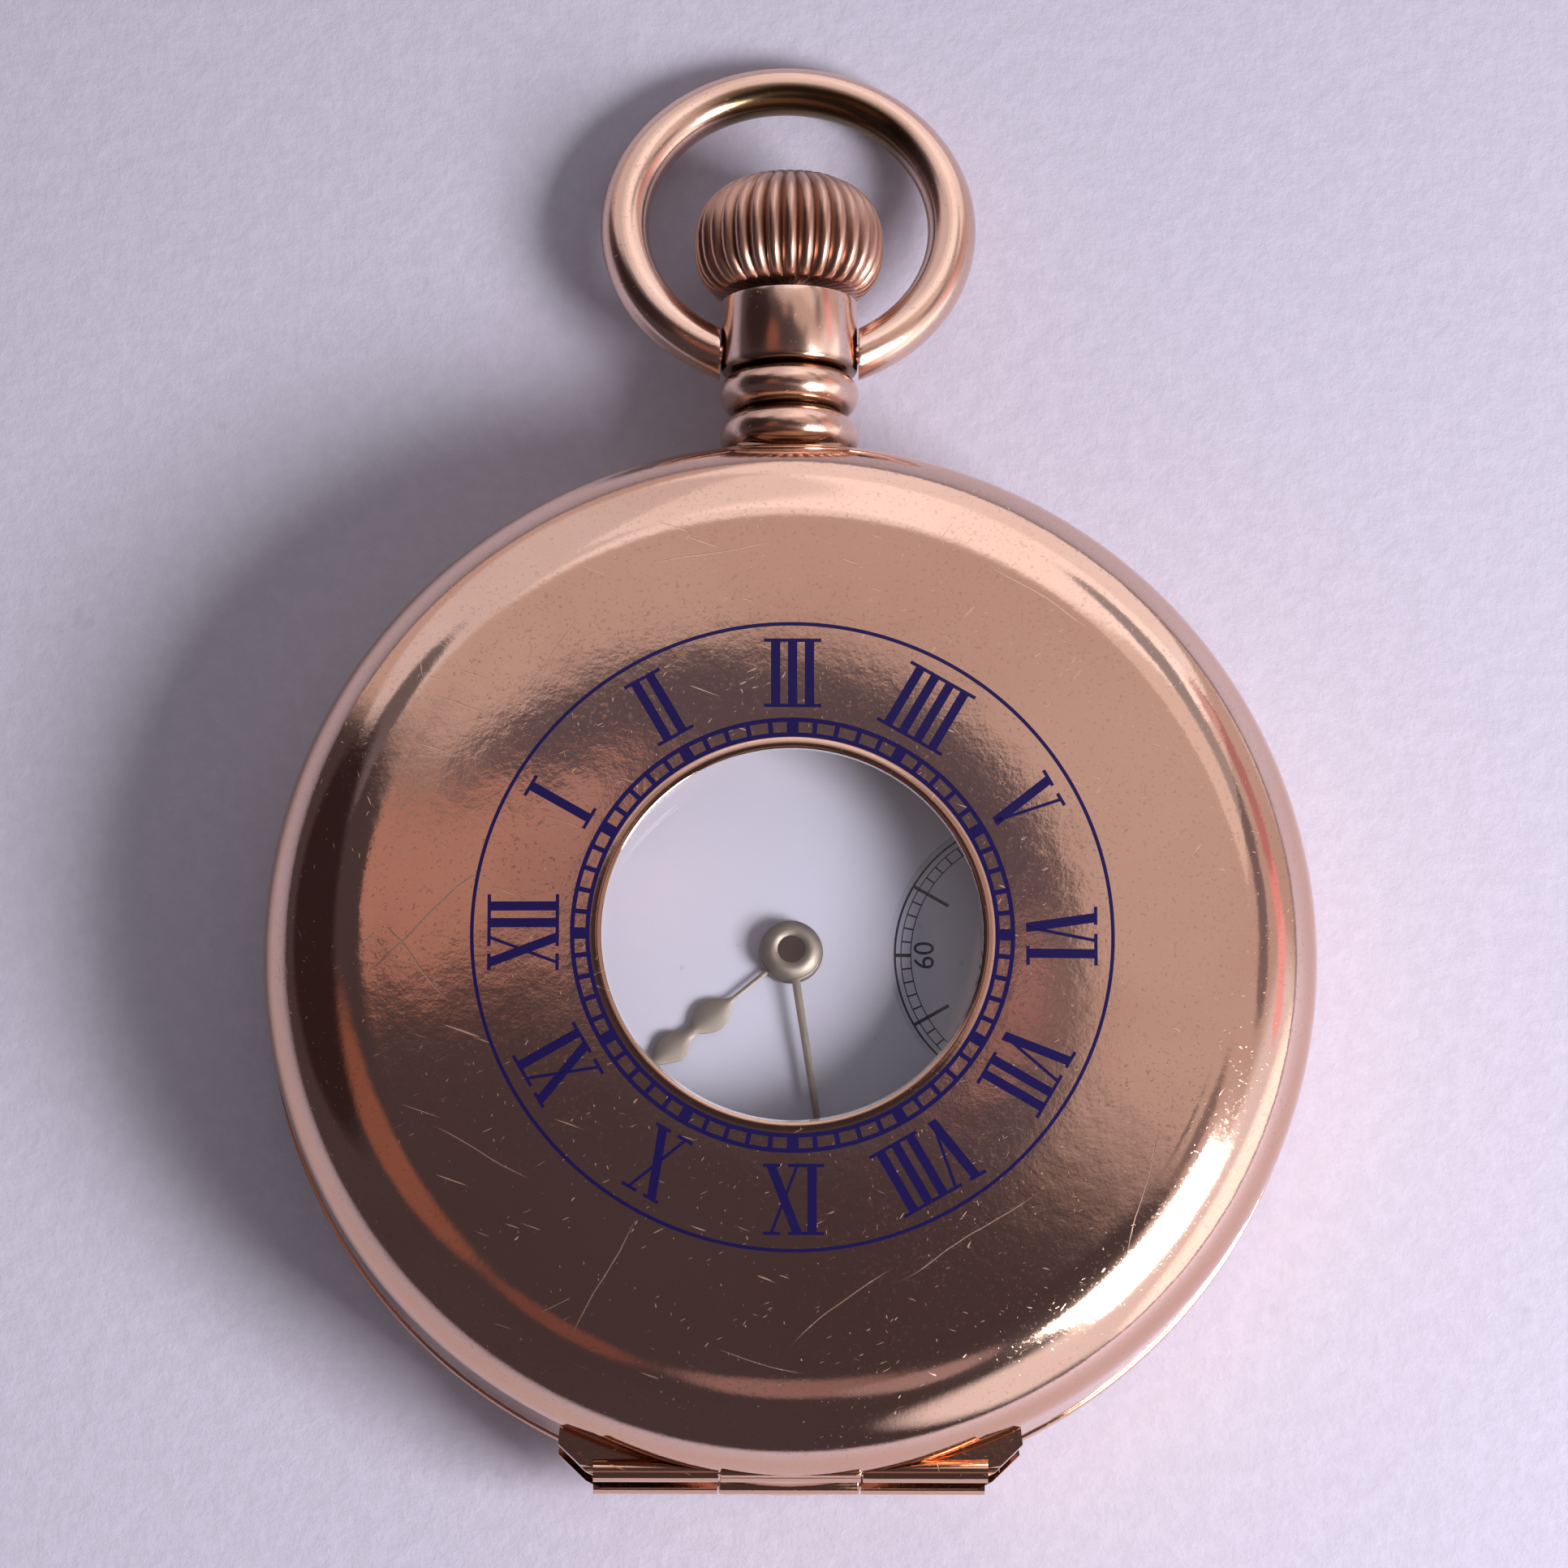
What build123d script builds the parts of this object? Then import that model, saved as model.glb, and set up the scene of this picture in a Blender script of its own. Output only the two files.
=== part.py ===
from build123d import *
from math import asin, atan2, cos, degrees, hypot, pi, radians, sin, sqrt
import os

# Half hunter pocket watch, lying on its back. Millimetres.
# The case axis is Z, the back rests at Z 0, the pendant points along +Y and the hinges lie at -Y.

# Case: band, front lid and back lid
case_radius = 25.0
back_rim_z = 4.0
band_height = 4.6
lid_wall = 0.5
lid_gap = 0.03
front_skirt = 0.25
front_shoulder_radius = 4.0
front_dome_tilt = 5.0
back_shoulder_radius = 3.2
window_radius = 9.05
window_lip = 0.3
dome_rise_share = 0.045
window_glass_rise = 0.3
glass_flat_share = 0.72
glass_play = 0.05
flange_inset = 0.1
neck_margin = 0.5
front_shoulder_facets = 4
back_shoulder_facets = 3
collar_play = 0.25
collar_height = 0.7
band_wall = 3.3
band_low_inset = 1.5
band_low_z = 2.4
ledge_width = 0.6

# Hinges of the two lids
hinge_inset = 0.4
hinge_drop = 0.4
knuckle_radius = 0.55
hinge_half_length = 9.25
lid_knuckle_half_length = 3.3
hinge_ear = 1.55
ear_corner_out = 0.1
ear_corner_drop = 0.9
ear_foot_out = 0.35
ear_foot_drop = 0.35
hinge_pin_radius = 0.25
pin_play = 0.02
knuckle_play = 0.1
hinge_web = 0.6

# Dust cover behind the movement, with its own small hinge
cuvette_thickness = 0.3
cuvette_hinge_inset = 1.8
cuvette_hinge_z = 2.72
cuvette_knuckle_radius = 0.32
cuvette_pin_radius = 0.14
cuvette_knuckle_half_length = 1.6
cuvette_hinge_half_length = 3.6

# Pendant, bow and crown, all on the stem's line
stem_z = 5.4
pendant_radius = 3.32
pendant_height = 8.2
tube_start = 3.75
bead_radius = 3.4
low_bead_radius = 3.28
groove_radius = 2.78
groove_start = 2.05
pendant_foot = 0.3
bead_edge = 0.3
pendant_neck_half_width = 2.6
sleeve_bore_radius = 1.45
bow_pivot = 5.6
bow_wire_radius = 1.0
bow_radius = 8.35
bow_sides = 10
bow_face_gap = 0.12
bow_pin_radius = 0.6
bow_pin_length = 0.8
bow_pin_play = 0.05
bow_ground_gap = 0.04
crown_gap = 0.4
crown_height = 6.2
crown_radius = 4.72
crown_flute_depth = 0.3
crown_flutes = 32
crown_height_shares = [0.0, 0.16, 0.5, 0.82, 0.97]
crown_radius_shares = [0.8, 0.97, 0.97, 0.68, 0.32]
sleeve_radius = 1.38
sleeve_inset = 2.05
press_travel = 0.35

# Springs that open and hold the front lid
spring_inset = 2.7
spring_thickness = 0.4
spring_low_z = 6.8
spring_height = 1.4
spring_half_angle = 35.0
spring_slot_play = 0.15
catch_half_width = 1.4
catch_height = 0.3
catch_play = 0.1
lip_height = 0.25
lip_reach = 0.3
lip_play = 0.05

# Glass and bezel under the front lid
bezel_width = 2.0
bezel_height = 1.2
bezel_rim_height = 0.25
glass_ledge = 0.8
dial_glass_thickness = 0.6
dial_glass_z = 9.7

# Movement levels, from the back towards the dial
bridge_low_z = 2.85
bridge_thickness = 1.3
plate_low_z = 5.95
plate_thickness = 1.8
plate_play = 0.1
bridge_play = 0.2
motion_recess_depth = 1.0
dial_thickness = 0.65
dial_play = 0.3
dial_hole_radius = 1.35
seconds_dial_radius = 6.9
seconds_dial_sink = 0.2
seconds_dial_thickness = 0.4

# Wheels of the train: teeth, tooth sizes and places
train_module = 0.3125
train_module_fine = 0.24
escape_module = 0.19
barrel_module = 0.3786
winding_module = 0.34
motion_module = 0.2125
hour_module = 0.2267
centre_teeth = 48
third_teeth = 45
fourth_teeth = 48
barrel_teeth = 48
ratchet_teeth = 44
crown_wheel_teeth = 24
winding_teeth = 11
leaf_count = 6
centre_leaf_count = 8
escape_leaf_count = 6
escape_teeth = 15
cannon_leaf_count = 8
minute_wheel_teeth = 24
minute_leaf_count = 6
hour_wheel_teeth = 24
seconds_reach = 11.5
barrel_place_share = -0.9057
balance_place = (3.4, -12.9)
escape_bearing = 5.5
escape_radius = 3.7
balance_radius = 7.4
wheel_thickness = 0.2
centre_wheel_low_z = 5.6
third_wheel_low_z = 4.3
fourth_wheel_low_z = 4.75
escape_wheel_low_z = 5.15
leaf_reach = 0.08
end_play = 0.03
escape_turn_share = 0.5
escape_root_share = 0.8
escape_rim_share = 0.7
tooth_lean = 6.0
tooth_face = 2.0
spoke_width = 0.5
arbor_radius = 0.3
arbor_play = 0.03
hub_radius = 0.95
overrun = 0.5

# Plates, pillars and screws of the movement
split_shares = [(0.27, 1.2), (0.27, 0.337), (-0.038, 0.106), (-0.077, -0.077), (-0.192, -0.216)]
barrel_side_shares = [(0.024, -0.452), (0.024, -1.2), (-1.2, -1.2), (-1.2, 1.2)]
train_side_shares = [(0.024, -0.452), (0.634, -0.65), (1.2, -1.23), (1.2, 1.2)]
bridge_gap = 0.15
pillar_place_shares = [(-0.83, -0.35), (-0.3, 0.85), (0.186, 0.851), (0.814, 0.395), (0.828, -0.349)]
pillar_radius = 1.1
screw_head_radius = 0.9
screw_head_height = 0.3
jewel_radius = 0.7
jewel_height = 0.3

# Barrel, click and winding
barrel_low_z = 4.25
barrel_height = 1.25
barrel_drum_radius = 8.4
barrel_teeth_low_z = 4.9
barrel_teeth_height = 0.3
barrel_arbor_radius = 0.8
winding_low_z = 2.95
ratchet_height = 0.4
crown_wheel_height = 0.7
winding_recess_play = 0.1
winding_rim_play = 0.3
core_radius = 1.3
click_bearing = 200.0
click_distance = 9.7
click_radius = 0.8
click_height = 0.35
click_beak_depth = 0.07
click_beak_turn = 6.0
click_point_share = 0.95
click_edge_share = 0.95
click_edge_turn = 80.0
click_back_turn = 20.0
click_spring_turns = [110, 160, 200, 250]
click_pocket_radius = 2.2
click_spring_width = 0.15
stem_radius = 0.65
stem_start_y = 10.0
winding_pinion_y = 14.75
winding_pinion_length = 1.45
winding_slot_half_width = 2.4
winding_slot_play = 0.15
clutch_y = 12.4
clutch_length = 2.0
clutch_radius = 1.2
lug_half_width = 1.2
lug_low_z = 4.6
inner_lug_length = 1.6
outer_lug_start_y = 17.5

# Balance, lever and hairspring
balance_rim_width = 0.8
balance_low_z = 3.8
balance_rim_height = 0.7
balance_arm_width = 0.8
balance_cut_radius = 8.4
cock_thickness = 0.6
cock_arm_width = 3.0
cock_foot_place = (13.2, -13.5)
cock_foot_radius = 1.8
cock_end_radius = 2.0
cock_play = 0.25
roller_radius = 1.6
roller_low_z = 4.85
roller_height = 0.25
impulse_pin_place_radius = 1.3
impulse_pin_radius = 0.2
impulse_pin_top_z = 5.45
balance_rest_turn = 60.0
lever_low_z = 5.15
lever_height = 0.25
lever_place_share = 1.155
lever_width = 0.5
fork_width = 1.5
fork_back = 0.5
fork_notch_width = 0.5
fork_reach = 0.35
stone_spread = 30.0
stone_width = 0.5
stone_length = 0.9
stone_bite = 0.08
lever_bridge_low_z = 4.6
lever_bridge_height = 0.4
lever_foot_place = (10.2, -9.9)
lever_foot_radius = 1.1
hairspring_low_z = 3.5
hairspring_height = 0.2
hairspring_width = 0.1
hairspring_start_radius = 1.2
hairspring_pitch = 0.65
hairspring_half_turns = 7
regulator_radius = 1.5
regulator_low_z = 2.6
regulator_height = 0.2
regulator_length = 5.2
regulator_bearing = 130.0

# Motion work, dial and hands
motion_wheel_low_z = 6.85
hour_wheel_low_z = 7.2
minute_bearing = 100.0
recess_play = 0.3
cannon_radius = 0.62
cannon_top_z = 9.5
hour_pipe_radius = 1.1
hour_pipe_top_z = 9.0
hour_hand_z = 8.75
minute_hand_z = 9.25
seconds_hand_z = 8.35
hand_thickness = 0.15
seconds_hand_thickness = 0.1
hour_hand_length = 9.0
hour_hand_angle = 219.4
hour_boss_radius = 1.45
hour_hand_shares = [
    (0.12, 0.028),
    (0.5, 0.022),
    (0.58, 0.085),
    (0.66, 0.098),
    (0.74, 0.07),
    (0.78, 0.03),
    (0.82, 0.058),
    (0.87, 0.055),
    (0.92, 0.026),
]
minute_hand_length = 16.0
minute_hand_angle = -81.4
minute_boss_radius = 1.2
minute_hand_shares = [(0.05, 0.012), (0.97, 0.007)]
seconds_hand_length = 5.8
seconds_hand_angle = 35.0
seconds_boss_radius = 0.6
seconds_hand_shares = [(-0.33, 0.02), (0.98, 0.01)]

os.makedirs("parts", exist_ok=True)

front_rim_z = back_rim_z + band_height
flange_radius = case_radius - flange_inset
collar_radius = case_radius - lid_wall - collar_play
catch_reach = collar_radius - catch_play
band_low_radius = case_radius - band_low_inset
band_bore_radius = flange_radius - band_wall
ledge_radius = band_bore_radius - ledge_width
spring_inner_radius = case_radius - spring_inset
cuvette_hinge_y = -(case_radius - cuvette_hinge_inset)
pendant_foot_y = case_radius + pendant_foot
groove_y = case_radius + groove_start
tube_start_y = case_radius + tube_start
pendant_top_y = case_radius + pendant_height
bow_pivot_y = case_radius + bow_pivot
crown_base_y = pendant_top_y + crown_gap
sleeve_end_y = case_radius - sleeve_inset
bezel_inner_radius = band_bore_radius - bezel_width
dial_glass_radius = bezel_inner_radius + glass_ledge
plate_radius = band_bore_radius - plate_play
bridge_radius = ledge_radius - bridge_play
dial_radius = plate_radius - dial_play
collar_top_z = front_rim_z + collar_height
bridge_top_z = bridge_low_z + bridge_thickness
plate_top_z = plate_low_z + plate_thickness
recess_z = plate_top_z - motion_recess_depth
dial_top_z = plate_top_z + dial_thickness
pieces = {}


def disc(radius, low, high, x=0, y=0):
    """A flat round plate between two heights."""
    body = Cylinder(radius, high - low, align=(Align.CENTER, Align.CENTER, Align.MIN))
    return Pos(x, y, low) * body


def ring(outer, inner, low, high, x=0, y=0):
    """A round plate with a round hole through it."""
    return disc(outer, low, high, x, y) - disc(inner, low - overrun, high + overrun, x, y)


def block(x_low, x_high, y_low, y_high, z_low, z_high):
    """A box given by its limits on each axis."""
    size = Box(x_high - x_low, y_high - y_low, z_high - z_low, align=(Align.MIN,) * 3)
    return Pos(x_low, y_low, z_low) * size


def rod_x(radius, x_low, x_high, y, z):
    """A round bar along X."""
    bar = Cylinder(radius, x_high - x_low, align=(Align.CENTER, Align.CENTER, Align.MIN))
    return Pos(x_low, y, z) * Rot(0, 90, 0) * bar


def rod_y(radius, y_low, y_high, x=0, z=0):
    """A round bar along Y."""
    bar = Cylinder(radius, y_high - y_low, align=(Align.CENTER, Align.CENTER, Align.MIN))
    return Pos(x, y_low, z) * Rot(-90, 0, 0) * bar


def turned(points):
    """A turned piece about Z, from a closed outline of radius and height."""
    return revolve(Plane.XZ * make_face(Polyline(*points, close=True)), Axis.Z)


def plate(points, low, high):
    """A flat plate of a straight-sided outline."""
    return Pos(0, 0, low) * extrude(make_face(Polyline(*points, close=True)), high - low)


def around(radius, angle, x=0, y=0):
    """The point at a radius and an angle in degrees about a centre."""
    return (x + radius * cos(radians(angle)), y + radius * sin(radians(angle)))


def heading(start, end):
    """The direction in degrees from one place to another."""
    return degrees(atan2(end[1] - start[1], end[0] - start[0]))


def along(start, end, width, low, high):
    """A straight bar between two places, square at its ends."""
    length = hypot(end[0] - start[0], end[1] - start[1])
    bar = block(0, length, -width / 2, width / 2, low, high)
    return Pos(start[0], start[1], 0) * Rot(0, 0, heading(start, end)) * bar


def pitch_radius(teeth, module):
    """The radius at which a gear's teeth mesh."""
    return teeth * module / 2


def wheel_outline(teeth, module, phase):
    """Pointed wheel teeth: two root corners and one tip for each tooth."""
    pitch, middle = 360 / teeth, pitch_radius(teeth, module)
    root, tip = middle - 1.15 * module, middle + 0.95 * module
    points = []
    for index in range(teeth):
        angle = phase + index * pitch
        points.append(around(root, angle - 0.3 * pitch))
        points.append(around(tip, angle))
        points.append(around(root, angle + 0.3 * pitch))
    return points


def leaf_outline(teeth, module, phase):
    """Pinion leaves: two root corners and a narrow flat tip for each leaf."""
    pitch, middle = 360 / teeth, pitch_radius(teeth, module)
    root, tip = middle - 1.2 * module, middle + 0.75 * module
    points = []
    for index in range(teeth):
        angle = phase + index * pitch
        points.append(around(root, angle - 0.22 * pitch))
        points.append(around(tip, angle - 0.08 * pitch))
        points.append(around(tip, angle + 0.08 * pitch))
        points.append(around(root, angle + 0.22 * pitch))
    return points


def meshed_phase(phase, teeth, direction, other_teeth):
    """The phase of a gear that meshes with one whose phase is known, seen along direction."""
    pitch, other_pitch = 360 / teeth, 360 / other_teeth
    lag = (direction - phase) / pitch
    return direction + 180 - other_pitch * (0.5 - lag)


def spoked_wheel(teeth, module, phase, low, place, spokes, rim_share=0.84, hub=hub_radius):
    """A wheel with pointed teeth, a thin rim, crossed-out windows and a hub."""
    high = low + wheel_thickness
    wheel = plate(wheel_outline(teeth, module, phase), low, high)
    inner = pitch_radius(teeth, module) * rim_share
    window = ring(inner, hub, low - overrun, high + overrun)
    for index in range(spokes):
        arm = block(
            0, inner + overrun, -spoke_width / 2, spoke_width / 2, low - 2 * overrun, high + 2 * overrun
        )
        window -= Rot(0, 0, index * 360 / spokes) * arm
    wheel -= window
    wheel -= disc(arbor_radius, low - overrun, high + overrun)
    return Pos(place[0], place[1], 0) * wheel


def pinion(teeth, module, phase, low, high, place):
    """A leaved pinion on its arbor's place."""
    leaves = plate(leaf_outline(teeth, module, phase), low, high)
    return Pos(place[0], place[1], 0) * leaves


# Case band with its collars, ledge, hinge ears and knuckles
hinge_y = -(case_radius - hinge_inset)
front_hinge_z = front_rim_z - hinge_drop
back_hinge_z = back_rim_z + hinge_drop
band = turned(
    [
        (ledge_radius, band_low_z),
        (band_low_radius, band_low_z),
        (band_low_radius, back_rim_z),
        (flange_radius, back_rim_z),
        (flange_radius, front_rim_z),
        (collar_radius, front_rim_z),
        (collar_radius, collar_top_z),
        (band_bore_radius, collar_top_z),
        (band_bore_radius, plate_low_z),
        (ledge_radius, plate_low_z),
    ]
)
ear_end = hinge_half_length + hinge_ear
ear_y = -sqrt(flange_radius**2 - ear_end**2)
ear_side = [
    (ear_end, ear_y),
    (ear_end + ear_corner_out, ear_y - ear_corner_drop),
    (hinge_half_length + ear_foot_out, hinge_y),
    (hinge_half_length - ear_foot_out, hinge_y - ear_foot_drop),
]
ear_outline = [(-x, y) for x, y in ear_side] + ear_side[::-1]
for axis_z, web_low, web_high in (
    (front_hinge_z, front_hinge_z - knuckle_radius, front_hinge_z),
    (back_hinge_z, back_hinge_z, back_hinge_z + knuckle_radius),
):
    web = plate(ear_outline, web_low, web_high) - disc(collar_radius, web_low - overrun, web_high + overrun)
    band += web + rod_x(knuckle_radius, -hinge_half_length, hinge_half_length, hinge_y, axis_z)
    notch_half = lid_knuckle_half_length + knuckle_play
    band -= block(
        -notch_half,
        notch_half,
        hinge_y - knuckle_radius - overrun,
        hinge_y + knuckle_radius + knuckle_play,
        axis_z - knuckle_radius - knuckle_play,
        axis_z + knuckle_radius + knuckle_play,
    )
    band -= rod_x(hinge_pin_radius, -ear_end, ear_end, hinge_y, axis_z)

spring_outer = spring_inner_radius + spring_thickness
slot_inner = spring_inner_radius - press_travel - spring_slot_play
slot_outer = spring_outer + spring_slot_play


def spring_sector(inner, outer, half_angle, low, high, middle_angle):
    """A piece of ring that spans an angle to each side of a direction."""
    reach = 2 * outer
    edge = [(0, 0), around(reach, middle_angle - half_angle), around(reach, middle_angle)]
    edge += [around(reach, middle_angle + half_angle)]
    return ring(outer, inner, low, high) & plate(edge, low - overrun, high + overrun)


for middle_angle in (90, -90):
    slot_low = spring_low_z - spring_slot_play
    band -= spring_sector(
        slot_inner, slot_outer, spring_half_angle + 2, slot_low, collar_top_z + overrun, middle_angle
    )
band -= rod_y(sleeve_bore_radius, ledge_radius - overrun, case_radius, z=stem_z)
catch_slot_half = catch_half_width + spring_slot_play
catch_z = front_rim_z + lip_height + 2 * lip_play
band -= block(
    -catch_slot_half,
    catch_slot_half,
    slot_inner,
    collar_radius + overrun,
    front_rim_z,
    collar_top_z + overrun,
)
lug_low, lug_high = band_low_z, cuvette_hinge_z + cuvette_knuckle_radius
for side in (-1, 1):
    ends = sorted((side * (cuvette_knuckle_half_length + knuckle_play), side * cuvette_hinge_half_length))
    lug = block(ends[0], ends[1], cuvette_hinge_y, -band_bore_radius - spring_thickness, lug_low, lug_high)
    band += lug + rod_x(cuvette_knuckle_radius, ends[0], ends[1], cuvette_hinge_y, cuvette_hinge_z)
band -= rod_x(
    cuvette_pin_radius,
    -cuvette_hinge_half_length,
    cuvette_hinge_half_length,
    cuvette_hinge_y,
    cuvette_hinge_z,
)
centre_cut = cuvette_knuckle_half_length + knuckle_play
band -= block(
    -centre_cut,
    centre_cut,
    cuvette_hinge_y - cuvette_knuckle_radius - overrun,
    cuvette_hinge_y + cuvette_knuckle_radius + knuckle_play,
    band_low_z - overrun,
    lug_high + knuckle_play,
)
pieces["case_band"] = band

# Front lid: a domed shell with a window, a seat for its glass, and the middle knuckle
shoulder_x = case_radius - front_shoulder_radius
shoulder_z = front_rim_z + lid_gap + front_skirt
tilt = radians(front_dome_tilt)
dome_start = (shoulder_x + front_shoulder_radius * sin(tilt), shoulder_z + front_shoulder_radius * cos(tilt))
lid_low = front_rim_z + lid_gap


def dome_z(radius, depth=0):
    """The front lid's height at a radius, or that of the surface a depth inside it."""
    return dome_start[1] + (dome_start[0] - radius) * dome_rise_share - depth


def shoulder(x, z, radius, first, upward, facets):
    """Points round a lid's shoulder, from its upright skirt to the dome's tilt."""
    points = []
    for step in range(facets + 1):
        angle = pi / 2 + (first - pi / 2) * step / facets
        points.append((x + radius * sin(angle), z + upward * radius * cos(angle)))
    return points


window_top_z = dome_z(window_radius)
inner_radius = front_shoulder_radius - lid_wall
inner_turn = (shoulder_x + inner_radius * sin(pi / 4), shoulder_z + inner_radius * cos(pi / 4))
ceiling_z = dome_z(shoulder_x, lid_wall)
front_lid = turned(
    [(case_radius, lid_low)]
    + shoulder(shoulder_x, shoulder_z, front_shoulder_radius, tilt, 1, front_shoulder_facets)
    + [
        (window_radius, window_top_z),
        (window_radius, ceiling_z),
        (shoulder_x, ceiling_z),
        inner_turn,
        (case_radius - lid_wall, lid_low),
    ]
)


def knuckle_notch(axis_z):
    """What is cut from a lid's edge to clear the band's knuckles."""
    half = hinge_half_length + knuckle_play
    return rod_x(knuckle_radius + knuckle_play, -half, half, hinge_y, axis_z)


def lid_knuckle(axis_z, toward_lid, lid_edge_z):
    """The lid's own hinge barrel, with the short web that carries it."""
    half = lid_knuckle_half_length
    web_ends = sorted((axis_z + toward_lid * hinge_pin_radius, lid_edge_z + toward_lid * hinge_web))
    web = block(-half, half, -case_radius, -(case_radius - lid_wall), web_ends[0], web_ends[1])
    return web + rod_x(knuckle_radius, -half, half, hinge_y, axis_z)


front_lid -= knuckle_notch(front_hinge_z)
front_lid += lid_knuckle(front_hinge_z, 1, lid_low)
front_lid -= rod_x(hinge_pin_radius + pin_play, -ear_end, ear_end, hinge_y, front_hinge_z)
lip_low = front_rim_z + lip_play
lip = block(
    -catch_half_width,
    catch_half_width,
    case_radius - lid_wall - lip_reach,
    case_radius - lid_wall / 2,
    lip_low,
    lip_low + lip_height,
)
front_lid += lip
pieces["front_lid"] = front_lid

pieces["window_glass"] = turned(
    [
        (0, ceiling_z),
        (window_radius, ceiling_z),
        (window_radius, window_top_z - window_lip),
        (window_radius * glass_flat_share, window_top_z + window_glass_rise),
        (0, window_top_z + window_glass_rise),
    ]
)

# Back lid: plain, with a round shoulder and the flat that the watch lies on
back_x = case_radius - back_shoulder_radius
back_z = back_shoulder_radius
back_shoulder = shoulder(back_x, back_z, back_shoulder_radius, 0, -1, back_shoulder_facets)
back_inner = back_shoulder_radius - lid_wall
back_lid = turned(
    [(case_radius, back_rim_z - lid_gap)]
    + back_shoulder
    + [
        (0, 0),
        (0, lid_wall),
        (back_x, lid_wall),
        (back_x + back_inner * sin(pi / 4), back_z - back_inner * cos(pi / 4)),
        (case_radius - lid_wall, back_rim_z - lid_gap),
    ]
)
back_lid -= knuckle_notch(back_hinge_z)
back_lid += lid_knuckle(back_hinge_z, -1, back_rim_z - lid_gap)
back_lid -= rod_x(hinge_pin_radius + pin_play, -ear_end, ear_end, hinge_y, back_hinge_z)
pieces["back_lid"] = back_lid

# Dust cover, closing against the band's lower face
cover_high = band_low_z - lip_play
cover_low = cover_high - cuvette_thickness
cuvette = disc(band_low_radius, cover_low, cover_high)
cuvette += block(
    -cuvette_knuckle_half_length,
    cuvette_knuckle_half_length,
    cuvette_hinge_y,
    -band_bore_radius - spring_thickness,
    cover_low,
    cover_high,
)
cuvette += block(
    -cuvette_knuckle_half_length,
    cuvette_knuckle_half_length,
    cuvette_hinge_y - cuvette_knuckle_radius,
    cuvette_hinge_y + cuvette_knuckle_radius,
    cover_low,
    cuvette_hinge_z,
)
cuvette += rod_x(
    cuvette_knuckle_radius,
    -cuvette_knuckle_half_length,
    cuvette_knuckle_half_length,
    cuvette_hinge_y,
    cuvette_hinge_z,
)
cuvette -= rod_x(
    cuvette_pin_radius + pin_play, -case_radius, case_radius, cuvette_hinge_y, cuvette_hinge_z
)
pieces["cuvette"] = cuvette

pieces["front_hinge_pin"] = rod_x(
    hinge_pin_radius, -hinge_half_length, hinge_half_length, hinge_y, front_hinge_z
)
pieces["back_hinge_pin"] = rod_x(
    hinge_pin_radius, -hinge_half_length, hinge_half_length, hinge_y, back_hinge_z
)
pieces["cuvette_hinge_pin"] = rod_x(
    cuvette_pin_radius,
    -cuvette_hinge_half_length,
    cuvette_hinge_half_length,
    cuvette_hinge_y,
    cuvette_hinge_z,
)

# Springs in the band: the lock spring with its catch at the pendant, the lift spring at the hinge
spring_high = spring_low_z + spring_height
lock_spring = spring_sector(
    spring_inner_radius, spring_outer, spring_half_angle, spring_low_z, spring_high, 90
)
lock_spring += block(
    -catch_half_width,
    catch_half_width,
    spring_inner_radius,
    spring_outer,
    spring_low_z,
    catch_z + catch_height,
)
lock_spring += block(
    -catch_half_width, catch_half_width, spring_inner_radius, catch_reach, catch_z, catch_z + catch_height
)
pieces["lock_spring"] = lock_spring
pieces["lift_spring"] = spring_sector(
    spring_inner_radius, spring_outer, spring_half_angle, spring_low_z, spring_high, -90
)

# Pendant: a turned tube with two beads, on a neck between the lids
pendant_outline = [
    (sleeve_bore_radius, pendant_foot_y),
    (low_bead_radius, pendant_foot_y),
    (low_bead_radius, groove_y - 2 * bead_edge),
    (groove_radius, groove_y),
    (bead_radius, groove_y + 2 * bead_edge),
    (bead_radius, tube_start_y - bead_edge),
    (pendant_radius, tube_start_y),
    (pendant_radius, pendant_top_y),
    (sleeve_bore_radius, pendant_top_y),
]
along_y = Pos(0, 0, stem_z) * Rot(-90, 0, 0)
pendant = along_y * turned(pendant_outline)
neck_low = back_rim_z + neck_margin
neck_high = front_rim_z - neck_margin
neck = block(
    -pendant_neck_half_width,
    pendant_neck_half_width,
    flange_radius - overrun,
    pendant_foot_y,
    neck_low,
    neck_high,
)
neck -= disc(flange_radius, neck_low - overrun, neck_high + overrun)
neck -= rod_y(sleeve_bore_radius, band_bore_radius, pendant_foot_y + overrun, z=stem_z)
pendant += neck
pin_hole = bow_pin_radius + bow_pin_play
pendant -= rod_x(pin_hole, -case_radius, case_radius, bow_pivot_y, stem_z)
pieces["pendant"] = pendant

# Bow: one bent wire, lying down from its pivots until it meets what the watch lies on
arm_x = pendant_radius + bow_face_gap
bow_far = sqrt(bow_radius**2 - arm_x**2)
bow_path = ThreePointArc((arm_x, 0), (0, bow_far + bow_radius), (-arm_x, 0))
bow_section = Plane(origin=bow_path @ 0, z_dir=bow_path % 0) * RegularPolygon(bow_wire_radius, bow_sides)
bow_ring = sweep(bow_section, bow_path)
bow_ring -= block(-arm_x, arm_x, -bow_radius, bow_wire_radius + overrun, -bow_radius, bow_radius)
for side in (-1, 1):
    ends = sorted((side * (arm_x - bow_pin_length), side * (arm_x + bow_wire_radius / 2)))
    bow_ring += rod_x(bow_pin_radius, ends[0], ends[1], 0, 0)
bow_length = bow_far + bow_radius
bow_drop = degrees(asin((stem_z - bow_wire_radius - bow_ground_gap) / bow_length))
pieces["bow"] = Pos(0, bow_pivot_y, stem_z) * Rot(-bow_drop, 0, 0) * bow_ring

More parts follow.
